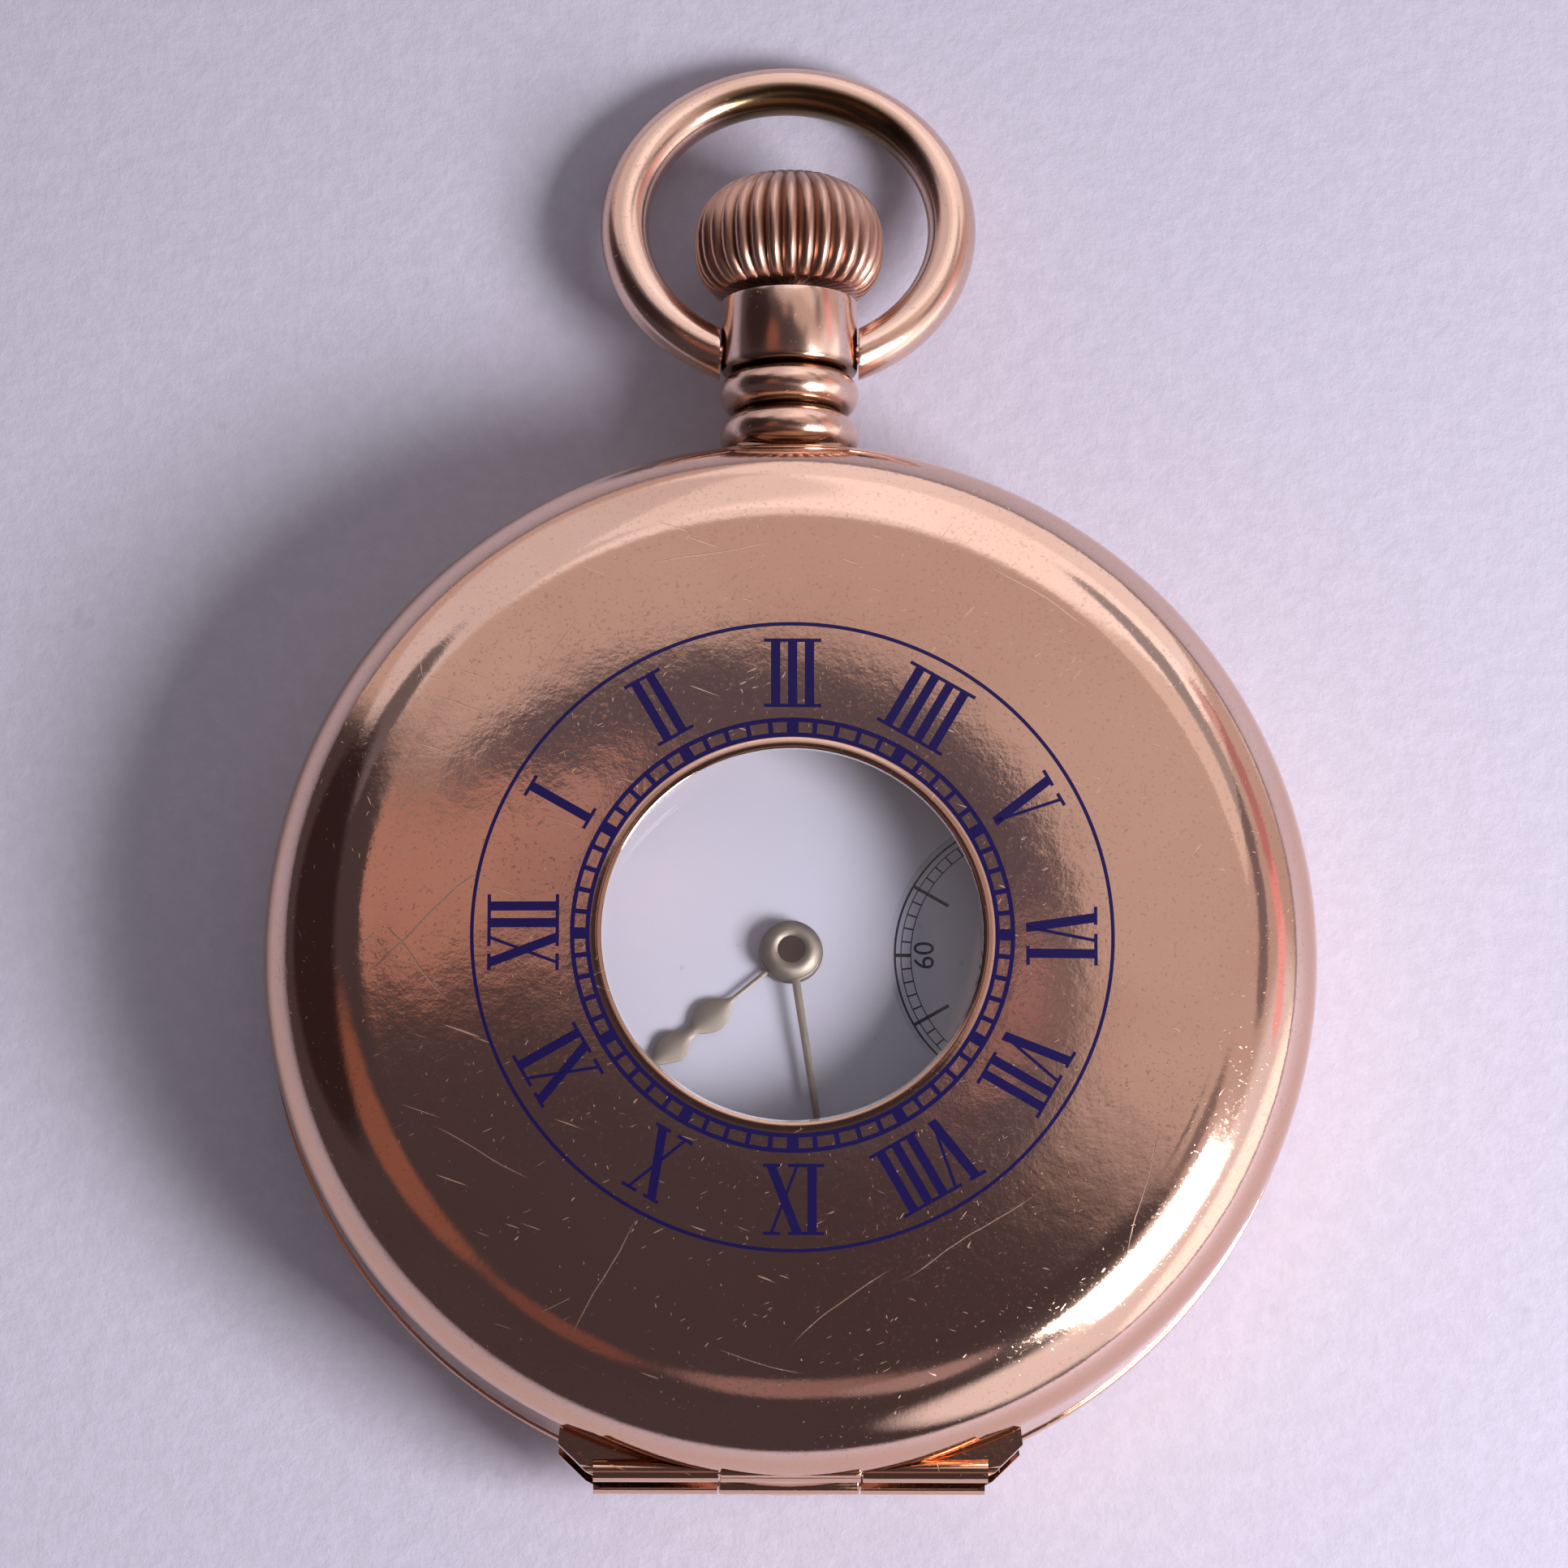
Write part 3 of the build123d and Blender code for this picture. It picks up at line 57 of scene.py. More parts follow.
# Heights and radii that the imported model's nodes give, in millimetres
LID_TOP_RADIUS = 21.35
LID_TOP_Z = 12.865
DOME_RISE = 0.553
DOME_POWER = 1.95
WINDOW_RADIUS = 9.05
CASE_RADIUS = 25.0
HINGE_Y = -24.6
KNUCKLE_NOTCH = 0.65
KNUCKLE_REACH = 9.35
HINGE_HALF = 3.3
FRONT_HINGE_Z = 8.2
BACK_HINGE_Z = 4.4
STEM_Z = 5.4
BOW_PIVOT_Y = 30.6
CROWN_BASE_Y = 33.6
DIAL_TOP_Z = 8.4
SECONDS_DIAL_TOP_Z = 8.2
SECONDS_PLACE = (11.5, 0)

# How far from the middle the bow's ends are cut
BOW_FACE = 3.38


def colour_setting(name, description, default):
    """A colour among the settings."""
    return FloatVectorProperty(
        name=name, description=description, subtype="COLOR", size=3, min=0, max=1, default=default
    )


def length_setting(name, description, default):
    """A length among the settings, its default in millimetres."""
    return FloatProperty(name=name, description=description, unit="LENGTH", default=default * MM)


class CaseSizes(bpy.types.PropertyGroup):
    gold: colour_setting("Gold", "Colour of the rose gold", (0.84, 0.60, 0.49))
    gold_dark: colour_setting("Toned gold", "Colour of the gold where it has toned", (0.66, 0.40, 0.30))
    enamel: colour_setting("Enamel", "Colour of the enamel in the front lid", (0.008, 0.004, 0.075))
    steps: IntProperty(name="Steps", description="Steps round the case", default=256, min=64, max=512)
    ring_inner: length_setting("Track radius", "Inner radius of the lid's minute track", 9.52)
    ring_outer: length_setting("Track outer radius", "Outer radius of the lid's minute track", 10.45)
    numeral_inner: length_setting("Numeral foot", "Radius where the lid's numerals start", 10.96)
    numeral_outer: length_setting("Numeral top", "Radius where the lid's numerals end", 14.32)
    line_radius: length_setting("Outer line", "Radius of the line round the numerals", 15.05)


class CrownSizes(bpy.types.PropertyGroup):
    flutes: IntProperty(name="Flutes", description="Flutes round the crown", default=32, min=8, max=64)
    flute_depth: length_setting("Flute depth", "Depth of a flute at the widest place", 0.36)
    bow_radius: length_setting("Bow radius", "Radius of the bow's middle line", 8.03)
    wire_radius: length_setting("Wire radius", "Radius of the bow's wire", 1.18)
    bow_drop: FloatProperty(
        name="Bow drop", description="Angle by which the bow lies down", subtype="ANGLE",
        default=radians(15.87),
    )


class DialSizes(bpy.types.PropertyGroup):
    enamel: colour_setting("Dial", "Colour of the dial's enamel", (0.87, 0.82, 0.98))
    print_colour: colour_setting("Print", "Colour of the dial's numerals and tracks", (0.02, 0.02, 0.03))
    hand: colour_setting("Hands", "Colour of the hands' metal", (0.27, 0.22, 0.185))


class StageSizes(bpy.types.PropertyGroup):
    floor: colour_setting("Floor", "Colour of the floor", (0.74, 0.70, 0.88))
    key: FloatProperty(name="Key light", description="Power of the key light", default=1, min=0)
    window: FloatProperty(name="Back light", description="Power of the back light", default=1, min=0)
    sky: FloatProperty(name="Sky", description="Strength of the even light", default=0.2, min=0)


# Meshes

LETTER_WIDTHS = {"I": 0.8, "V": 1.75, "X": 1.8}
NUMERALS = ("XII", "I", "II", "III", "IIII", "V", "VI", "VII", "VIII", "IX", "X", "XI")
TRACK_LINE = 0.21
PRINT_DEPTH = 0.004
PRINT_THICKNESS = 0.012


def dome(radius):
    """Height of the front lid's outer face at a radius, both in millimetres."""
    share = max(radius - WINDOW_RADIUS, 0) / (LID_TOP_RADIUS - WINDOW_RADIUS)
    return LID_TOP_Z + DOME_RISE * (1 - share**DOME_POWER)


def arc(centre, radius, start, end, steps):
    """Points of (radius, height) round an arc, angles in degrees from the +radius direction."""
    points = []
    for step in range(steps + 1):
        angle = radians(start + (end - start) * step / steps)
        points.append((centre[0] + radius * cos(angle), centre[1] + radius * sin(angle)))
    return points


def moved(x, y, z=0):
    """A shift in millimetres."""
    return Matrix.Translation((x * MM, y * MM, z * MM))


def facing(centre, degrees):
    """Puts what points along Y at a centre, pointing at an angle from +X."""
    return moved(*centre) @ Matrix.Rotation(radians(degrees) - QUARTER, 4, "Z")


def fresh_verts(bm, before):
    """The vertices that weren't there before."""
    return [vert for vert in bm.verts if vert not in before]


def turned(bm, profile, steps, place=None, closed=True):
    """Spins an outline of (radius, height) points in millimetres about Z, then puts it in place."""
    before = set(bm.verts)
    verts = [bm.verts.new((radius * MM, 0, height * MM)) for radius, height in profile]
    pairs = list(zip(verts, verts[1:]))
    if closed:
        pairs.append((verts[-1], verts[0]))
    edges = [bm.edges.new(pair) for pair in pairs]
    bmesh.ops.spin(bm, geom=verts + edges, axis=(0, 0, 1), angle=TURN, steps=steps, use_merge=True)
    bmesh.ops.remove_doubles(bm, verts=fresh_verts(bm, before), dist=JOIN)
    edges = list({edge for vert in fresh_verts(bm, before) for edge in vert.link_edges})
    bmesh.ops.dissolve_degenerate(bm, edges=edges, dist=JOIN / 10)
    made = fresh_verts(bm, before)
    if place is not None:
        bmesh.ops.transform(bm, matrix=place, verts=made)
    return made


def clear_knuckles(bm, axis_z, side):
    """Lifts a lid's edge off the band's hinge knuckles."""
    for vert in bm.verts:
        across = vert.co.y / MM - HINGE_Y
        if abs(vert.co.x) / MM > KNUCKLE_REACH or vert.co.y > 0 or abs(across) > KNUCKLE_NOTCH:
            continue
        clear = axis_z + side * sqrt(KNUCKLE_NOTCH**2 - across**2)
        if (vert.co.z / MM - clear) * side < 0:
            vert.co.z = clear * MM


def rounded(bm, edges, width):
    """Rounds edges by a width in millimetres."""
    bmesh.ops.bevel(
        bm, geom=edges, offset=width * MM, offset_type="OFFSET", segments=3, profile=0.5,
        affect="EDGES", clamp_overlap=True, material=-1,
    )


def box(bm, low, high, round_by):
    """A box between two corners in millimetres, with its edges rounded."""
    made = bmesh.ops.create_cube(bm, size=1)["verts"]
    bmesh.ops.scale(bm, vec=[(b - a) * MM for a, b in zip(low, high)], verts=made)
    bmesh.ops.translate(bm, vec=[(a + b) / 2 * MM for a, b in zip(low, high)], verts=made)
    rounded(bm, list({edge for vert in made for edge in vert.link_edges}), round_by)


def rod(bm, radius, start, end, steps, round_by):
    """A rod between two points in millimetres, its end edges rounded."""
    along = Vector(end) - Vector(start)
    outline = [(0, 0), (radius - round_by, 0)]
    outline += arc((radius - round_by, round_by), round_by, -90, 0, 3)[1:]
    outline += arc((radius - round_by, along.length - round_by), round_by, 0, 90, 3)
    outline += [(0, along.length)]
    turn = along.to_track_quat("Z", "Y").to_matrix().to_4x4()
    turned(bm, outline, steps, moved(*start) @ turn, closed=False)


def hinge_leaf(bm, axis_z, low, high):
    """A lid's barrel between the band's knuckles, and the leaf that joins it to the lid."""
    rod(bm, 0.55, (-HINGE_HALF, HINGE_Y, axis_z), (HINGE_HALF, HINGE_Y, axis_z), 32, 0.06)
    box(bm, (-HINGE_HALF, -CASE_RADIUS, low), (HINGE_HALF, -24.5, high), 0.08)


def lip(height, side):
    """A lid's edge where it meets the band, its corners broken."""
    return [(CASE_RADIUS, height + 0.1 * side), (24.97, height + 0.03 * side), (24.9, height), (24.6, height),
            (24.5, height + 0.08 * side)]


def stroke(bm, foot, top, width):
    """One flat pen stroke between two points of (across, up), its ends level."""
    made = bmesh.ops.create_grid(bm, x_segments=1, y_segments=1, size=0.5)["verts"]
    for vert in made:
        share = vert.co.y + 0.5
        across = foot[0] + (top[0] - foot[0]) * share + vert.co.x * width
        up = foot[1] + (top[1] - foot[1]) * share
        vert.co = (across * MM, up * MM, 0)
    return made


def roman(bm, text, low, high, unit, clock_angle):
    """A Roman numeral as flat strokes between two radii, its top outward."""
    before = set(bm.verts)
    thick, thin, bar, over = 0.44 * unit, 0.15 * unit, 0.16 * unit, 0.34 * unit
    cursor = -sum(LETTER_WIDTHS[letter] for letter in text) * unit / 2
    foot, top = low + bar, high - bar
    run_start = None
    for index, letter in enumerate(text):
        if letter == "I":
            middle = cursor + 0.4 * unit
            stroke(bm, (middle, foot), (middle, top), thick)
            if run_start is None:
                run_start = middle
            if text[index + 1:index + 2] != "I":
                left = run_start - thick / 2 - over * (0.4 if text[0] != "I" else 1)
                right = middle + thick / 2 + over * (0.4 if index + 1 < len(text) else 1)
                for level in (low, top):
                    stroke(bm, ((left + right) / 2, level), ((left + right) / 2, level + bar), right - left)
                run_start = None
        elif letter == "V":
            left, right = cursor + 0.2 * unit, cursor + 1.5 * unit
            point = cursor + 0.92 * unit
            stroke(bm, (point, low), (left + thick / 2, top), thick * 1.02)
            stroke(bm, (point - thin * 0.2, low + 0.001), (right, top), thin)
            stroke(bm, (left + 0.12 * unit, top), (left + 0.12 * unit, high), 0.86 * unit)
            stroke(bm, (right + 0.02 * unit, top), (right + 0.02 * unit, high), 0.66 * unit)
        else:
            left, right = cursor + 0.32 * unit, cursor + 1.48 * unit
            stroke(bm, (right, foot), (left, top), thick * 1.05)
            stroke(bm, (left, foot), (right, top), thin)
            for level in (low, top):
                for middle in (left, right):
                    stroke(bm, (middle, level), (middle, level + bar), 0.8 * unit)
        cursor += LETTER_WIDTHS[letter] * unit
    bmesh.ops.transform(bm, matrix=facing((0, 0), clock_angle), verts=fresh_verts(bm, before))


def flat_ring(bm, inner, outer, steps, centre=(0, 0)):
    """A flat ring between two radii in millimetres."""
    turned(bm, [(inner, 0), (outer, 0)], steps, moved(*centre), closed=False)


def ticks(bm, inner, outer, width, count, skip=0, start=0, centre=(0, 0)):
    """Flat radial bars round a circle, leaving out every one that skip divides."""
    for index in range(count):
        if not skip or index % skip:
            made = stroke(bm, (0, inner), (0, outer), width)
            bmesh.ops.transform(bm, matrix=facing(centre, start + index * 360 / count), verts=made)


def digits(bm, text, height, reach, angle, centre):
    """Figures set flat at a distance from a centre, their tops outward."""
    curve = bpy.data.curves.new("figures", "FONT")
    curve.body = text
    curve.size = height / 0.7 * MM
    curve.align_x = curve.align_y = "CENTER"
    curve.resolution_u = 6
    made = bpy.data.objects.new("figures", curve)
    mesh = bpy.data.meshes.new_from_object(made)
    before = set(bm.verts)
    bm.from_mesh(mesh)
    place = facing(centre, angle) @ moved(0, reach)
    bmesh.ops.transform(bm, matrix=place, verts=fresh_verts(bm, before))
    bpy.data.objects.remove(made)
    bpy.data.curves.remove(curve)
    bpy.data.meshes.remove(mesh)


def thickened(bm, faces):
    """Extrudes faces and gives the new vertices."""
    result = bmesh.ops.extrude_face_region(bm, geom=faces)
    return [item for item in result["geom"] if isinstance(item, bmesh.types.BMVert)]


def raise_print(bm, height, thickness):
    """Gives flat print its thickness and lays it on a surface whose height follows the radius."""
    bmesh.ops.translate(bm, vec=(0, 0, thickness * MM), verts=thickened(bm, list(bm.faces)))
    for vert in bm.verts:
        vert.co.z += height(hypot(vert.co.x, vert.co.y) / MM) * MM


def blade(bm, outline, ridge, thickness, z, angle, centre=(0, 0)):
    """A hand's blade: half widths along its length, with a raised middle line."""
    before = set(bm.verts)
    last = len(outline) - 1
    made = bmesh.ops.create_grid(bm, x_segments=last, y_segments=4, size=0.5)["verts"]
    for vert in made:
        along, half = outline[min(round((vert.co.x + 0.5) * last), last)]
        side = vert.co.y * 2
        lift = (1 - side * side) * ridge * min(half / 0.4, 1)
        vert.co = (along * MM, side * half * MM, (z + thickness / 2 + lift) * MM)
    for vert in thickened(bm, [face for face in bm.faces if set(face.verts) <= set(made)]):
        vert.co.z = z * MM
    bmesh.ops.transform(bm, matrix=facing(centre, angle + 90), verts=fresh_verts(bm, before))


def shown_object(name, data):
    """A new object in the scene."""
    made = bpy.data.objects.new(name, data)
    bpy.context.scene.collection.objects.link(made)
    return made


def piece(bm, name, material, crease=35):
    """Turns a bmesh into a shown object with smooth faces and creases past an angle."""
    bmesh.ops.remove_doubles(bm, verts=bm.verts, dist=2e-8)
    bmesh.ops.recalc_face_normals(bm, faces=bm.faces)
    for face in bm.faces:
        face.smooth = True
    for edge in bm.edges:
        if len(edge.link_faces) == 2 and edge.calc_face_angle(0) > radians(crease):
            edge.smooth = False
    mesh = bpy.data.meshes.new(name)
    bm.to_mesh(mesh)
    bm.free()
    mesh.materials.append(MATERIALS[material])
    return shown_object(name, mesh)


# Shader node groups


def feed(tree, node, **inputs):
    """Links or sets a node's inputs, by name or as i0, i1 by number, and gives the node."""
    for label, value in inputs.items():
        key = int(label[1:]) if label[0] == "i" and label[1:].isdigit() else label.replace("_", " ")
        if isinstance(value, bpy.types.NodeSocket):
            tree.links.new(value, node.inputs[key])
        else:
            node.inputs[key].default_value = value
    return node


def add(tree, kind, settings=None, **inputs):
    """Adds a shader node, sets its properties and feeds its inputs."""
    node = tree.nodes.new("ShaderNode" + kind)
    for label, value in (settings or {}).items():
        setattr(node, label, value)
    return feed(tree, node, **inputs)


def noise(tree, place, scale, detail, **inputs):
    """A noise texture's value."""
    node = add(tree, "TexNoise", Vector=place, Scale=scale, Detail=detail, **inputs)
    return node.outputs[0]


def smooth_step(tree, value, low, high):
    """A soft threshold from 0 at low to 1 at high."""
    settings = {"interpolation_type": "SMOOTHSTEP", "clamp": True}
    return add(tree, "MapRange", settings, Value=value, From_Min=low, From_Max=high).outputs["Result"]


def math(tree, operation, a, b=0):
    """One Math node's result."""
    return add(tree, "Math", {"operation": operation}, i0=a, i1=b).outputs[0]


def plus(tree, a, b):
    """The sum of two values."""
    return math(tree, "ADD", a, b)


def times(tree, a, b):
    """The product of two values."""
    return math(tree, "MULTIPLY", a, b)


def vector(tree, operation, a, b, output=0):
    """One Vector Math node's result."""
    return add(tree, "VectorMath", {"operation": operation}, i0=a, i1=b).outputs[output]


def mixed(tree, share, a, b):
    """A colour between two colours."""
    return add(tree, "Mix", {"data_type": "RGBA"}, i0=share, i6=a, i7=b).outputs[2]


def shader_group(name, output, **values):
    """An empty node group of a vector and named values, with its inputs and its end node."""
    group = bpy.data.node_groups.new(name, "ShaderNodeTree")
    group.interface.new_socket(name="Vector", in_out="INPUT", socket_type="NodeSocketVector")
    for label, value in values.items():
        socket = group.interface.new_socket(name=label, in_out="INPUT", socket_type="NodeSocketFloat")
        socket.default_value = value
    group.interface.new_socket(name=output, in_out="OUTPUT", socket_type="NodeSocketFloat")
    return group, group.nodes.new("NodeGroupInput").outputs, group.nodes.new("NodeGroupOutput")


def speckle_group():
    """Scattered specks of dust and toning that gather in patches."""
    group, source, result = shader_group("speckle", "Mask", Scale=900, Amount=0.5, Patches=90)
    fine = noise(group, source["Vector"], source["Scale"], 3, Roughness=0.6)
    wide = noise(group, source["Vector"], source["Patches"], 2)
    limit = math(group, "SUBTRACT", 0.78, times(group, source["Amount"], 0.24))
    limit = math(group, "SUBTRACT", limit, times(group, wide, 0.14))
    feed(group, result, Mask=smooth_step(group, fine, limit, plus(group, limit, 0.06)))
    return group


def scratch_group():
    """Fine straight scratches in several directions, as cloth and pocket grit leave them."""
    group, source, result = shader_group("scratches", "Mask", Scale=260, Amount=0.5)
    total = 0
    for turn, stretch, seed in ((0.35, 26, 0), (1.35, 34, 0.051), (2.2, 22, 0.097), (2.85, 40, 0.033)):
        turned_to = add(group, "Mapping", Vector=source["Vector"],
                        Rotation=(0.2 * turn, 0.13 * turn, turn), Location=(seed, 0, 0))
        long = add(group, "Mapping", Vector=turned_to.outputs[0], Scale=(1, stretch, stretch))
        lines = noise(group, long.outputs[0], source["Scale"], 1)
        limit = math(group, "SUBTRACT", 0.80, times(group, source["Amount"], 0.1))
        total = math(group, "MAXIMUM", total, smooth_step(group, lines, limit, plus(group, limit, 0.05)))
    feed(group, result, Mask=total)
    return group


def long_scratch_group():
    """Single long scratches across the lid, each a thin line between two points."""
    group, source, result = shader_group("long_scratches", "Mask")
    wave = noise(group, source["Vector"], 160, 2)
    drift = times(group, math(group, "SUBTRACT", wave, 0.5), 0.0012)
    total = 0
    for x, y, angle, length, width in LONG_SCRATCHES:
        along = (cos(radians(angle)), sin(radians(angle)), 0)
        away = vector(group, "SUBTRACT", source["Vector"], (x * MM, y * MM, 0))
        reach = math(group, "ABSOLUTE", vector(group, "DOT_PRODUCT", away, along, "Value"))
        off = vector(group, "DOT_PRODUCT", away, (-along[1], along[0], 0), "Value")
        off = math(group, "ABSOLUTE", plus(group, off, drift))
        ends = smooth_step(group, reach, length / 2 * MM, length / 4 * MM)
        thin = smooth_step(group, off, width * MM, width * 0.3 * MM)
        total = math(group, "MAXIMUM", total, times(group, ends, thin))
    feed(group, result, Mask=total)
    return group


def mottle_group():
    """Slow, cloudy change of tone."""
    group, source, result = shader_group("mottle", "Mask", Scale=60, Sharpness=0.25)
    cloud = noise(group, source["Vector"], source["Scale"], 4, Roughness=0.55, Distortion=0.4)
    low = math(group, "SUBTRACT", 0.5, source["Sharpness"])
    feed(group, result, Mask=smooth_step(group, cloud, low, plus(group, 0.5, source["Sharpness"])))
    return group


def grain_group():
    """Fine parallel lines from a brush or a lapping stone."""
    group, source, result = shader_group("brushed", "Height", Scale=800, Stretch=30)
    stretch = add(group, "CombineXYZ", X=1, Y=source["Stretch"], Z=1)
    long = vector(group, "MULTIPLY", source["Vector"], stretch.outputs[0])
    feed(group, result, Height=noise(group, long, source["Scale"], 2))
    return group


# Long scratches: place, direction in degrees, length and half width
LONG_SCRATCHES = (
    (-17.2, 0.6, 42, 7.5, 0.045),
    (-17.6, -1.4, -52, 5, 0.045),
    (-8.9, -16.4, 63, 8, 0.04),
    (-14.5, -10.5, -28, 6, 0.035),
    (2.2, -17.6, 38, 7, 0.035),
    (8.2, -14.2, 33, 9, 0.035),
    (-3.8, 18.6, 12, 6, 0.03),
    (11.8, 16.6, -33, 6.5, 0.04),
    (17.8, 9.8, -58, 5, 0.03),
    (-12, 12.8, 56, 5.5, 0.03),
    (16.4, -12, 74, 6.5, 0.03),
    (-1.5, -20.2, -12, 5, 0.035),
)
GROUP_MAKERS = {
    "speckle": speckle_group,
    "scratches": scratch_group,
    "long_scratches": long_scratch_group,
    "mottle": mottle_group,
    "brushed": grain_group,
}
GROUPS = {}
MATERIALS = {}


def use_group(tree, name, place, **inputs):
    """Places a shared node group in a material."""
    if name not in GROUPS:
        GROUPS[name] = GROUP_MAKERS[name]()
    return add(tree, "Group", {"node_tree": GROUPS[name]}, Vector=place, **inputs).outputs[0]


def new_material(name):
    """A material with a Principled shader, its output, and object coordinates."""
    material = bpy.data.materials.new(name)
    material.use_nodes = True
    tree = material.node_tree
    tree.nodes.clear()
    surface = add(tree, "BsdfPrincipled")
    output = add(tree, "OutputMaterial", Surface=surface.outputs[0])
    MATERIALS[name] = material
    return tree, surface, output, add(tree, "TexCoord").outputs["Object"]


def rgba(colour, share=1):
    """A colour with full alpha, made darker by a share."""
    return (*(part * share for part in colour), 1)


def bump(tree, surface, height, strength, distance):
    """Feeds a height into the shader's normal."""
    node = add(tree, "Bump", Strength=strength, Distance=distance, Height=height)
    feed(tree, surface, Normal=node.outputs[0])


def gold_material(name, light, dark, roughness, wear, toning):
    """Polished rose gold: cloudy toning, dust specks, fine scratches with a painted lighter sheen, and small
    ripples.
    """
    tree, surface, output, place = new_material(name)
    cloud = use_group(tree, "mottle", place, Scale=70, Sharpness=0.22)
    specks = use_group(tree, "speckle", place, Scale=5200, Amount=wear, Patches=160)
    lines = use_group(tree, "scratches", place, Scale=240, Amount=wear)
    marks = use_group(tree, "long_scratches", place)
    lines = math(tree, "MAXIMUM", lines, times(tree, marks, wear * 1.6))
    colour = mixed(tree, times(tree, cloud, toning), rgba(light), rgba(dark))
    colour = mixed(tree, times(tree, specks, 0.22), colour, rgba(dark, 0.45))
    # The scratches are real wear, but the lighter colour drawn on them is a painted sheen.
    colour = mixed(tree, times(tree, lines, 0.35), colour, rgba([min(part * 1.25, 1) for part in light]))
    rough = plus(tree, roughness, times(tree, cloud, 0.035))
    rough = plus(tree, rough, times(tree, specks, 0.08))
    rough = plus(tree, rough, times(tree, lines, 0.3))
    feed(tree, surface, Base_Color=colour, Metallic=1, Roughness=rough)
    ripple = noise(tree, place, 700, 4, Roughness=0.65)
    bump(tree, surface, math(tree, "SUBTRACT", ripple, times(tree, lines, 0.3)), 0.12, 0.00006)


def patina_and_painted_shade(name, mask, share, tone):
    """Tones a finished gold down where a mask of the place on the piece says so: real patina on some pieces,
    painted shade on others.
    """
    tree = MATERIALS[name].node_tree
    surface = next(node for node in tree.nodes if node.type == "BSDF_PRINCIPLED")
    colour = surface.inputs["Base Color"].links[0].from_socket
    place = add(tree, "TexCoord").outputs["Object"]
    apart = add(tree, "SeparateXYZ", i0=place)
    depth = mask(tree, place, *(apart.outputs[axis] for axis in "XYZ"))
    feed(tree, surface, Base_Color=mixed(tree, times(tree, depth, share), colour, rgba(tone)))


def distance(tree, place, point):
    """How far a place lies from a point in millimetres, in metres."""
    return vector(tree, "DISTANCE", place, tuple(part * MM for part in point), "Value")


def reach_from_axis(tree, x, y):
    """How far a place lies from the watch's axis, in metres."""
    return distance(tree, add(tree, "CombineXYZ", X=x, Y=y).outputs[0], (0, 0, 0))


def window_rim_painted_shade(tree, place, x, y, z):
    """The turned rim round the window and the wall inside it, on the front lid only, darkened as painted
    shade.
    """
    near = smooth_step(tree, reach_from_axis(tree, x, y), 9.46 * MM, 9.36 * MM)
    return times(tree, near, smooth_step(tree, z, 11.5 * MM, 12 * MM))


def outer_rim_painted_shade(tree, place, x, y, z):
    """The lids' outermost millimetre, where a darker, warmer reflection is painted."""
    return smooth_step(tree, reach_from_axis(tree, x, y), 24.1 * MM, 24.7 * MM)


def neck(tree, place, x, y, z):
    """The pendant's foot and the grooves beside its beads, where shade is painted in."""
    foot = smooth_step(tree, y, 26.3 * MM, 25.5 * MM)
    for groove in (27.43, 29.58):
        off = math(tree, "ABSOLUTE", math(tree, "SUBTRACT", y, groove * MM))
        foot = math(tree, "MAXIMUM", foot, smooth_step(tree, off, 0.4 * MM, 0.1 * MM))
    return foot


def bow_inside(tree, place, x, y, z):
    """The inside of the bow's far end."""
    inside = smooth_step(tree, distance(tree, place, (0, 37.55, 3.4)), 8.3 * MM, 7.7 * MM)
    near = smooth_step(tree, distance(tree, place, (1.6, 44, 1.6)), 7 * MM, 4 * MM)
    return times(tree, inside, near)


def flute_valleys(tree, place, x, y, z):
    """The valleys between the crown's flutes, where polish never reaches."""
    angle = math(tree, "ARCTAN2", math(tree, "SUBTRACT", z, STEM_Z * MM), x)
    half = bpy.context.scene.watch_crown.flutes / 2
    wave = math(tree, "ABSOLUTE", math(tree, "SINE", times(tree, angle, half)))
    return smooth_step(tree, wave, 0.35, 0.95)


def metal_material(name, colour, toned, roughness, grain, stretch, strength):
    """Worked metal with a brushed or frosted face."""
    tree, surface, output, place = new_material(name)
    cloud = use_group(tree, "mottle", place, Scale=160, Sharpness=0.3)
    lines = use_group(tree, "brushed", place, Scale=grain, Stretch=stretch)
    blend = mixed(tree, times(tree, cloud, 0.6), rgba(colour), rgba(toned))
    rough = plus(tree, roughness, times(tree, lines, 0.15))
    feed(tree, surface, Base_Color=blend, Metallic=1, Roughness=rough)
    bump(tree, surface, lines, strength, 0.00004)


def enamel_material(name, colour, roughness, strength):
    """Fired enamel: a smooth glaze over a faintly uneven ground."""
    tree, surface, output, place = new_material(name)
    cloud = use_group(tree, "mottle", place, Scale=120, Sharpness=0.35)
    specks = use_group(tree, "speckle", place, Scale=1100, Amount=0.1, Patches=140)
    blend = mixed(tree, times(tree, cloud, 0.12), rgba(colour), rgba(colour, 0.8))
    blend = mixed(tree, times(tree, specks, 0.35), blend, rgba(colour, 0.55))
    rough = plus(tree, roughness, times(tree, cloud, 0.06))
    feed(tree, surface, Base_Color=blend, Roughness=rough, Coat_Weight=0.1, Coat_Roughness=0.12,
         Specular_IOR_Level=0.3)
    bump(tree, surface, noise(tree, place, 420, 2), strength, 0.00003)


def clear_where(tree, surface, output, share, colour=(1, 1, 1)):
    """Lets light straight through a finished material where a share is one."""
    clear = add(tree, "BsdfTransparent", Color=rgba(colour))
    shaders = add(tree, "MixShader", i0=share, i1=surface.outputs[0], i2=clear.outputs[0])
    feed(tree, output, Surface=shaders.outputs[0])


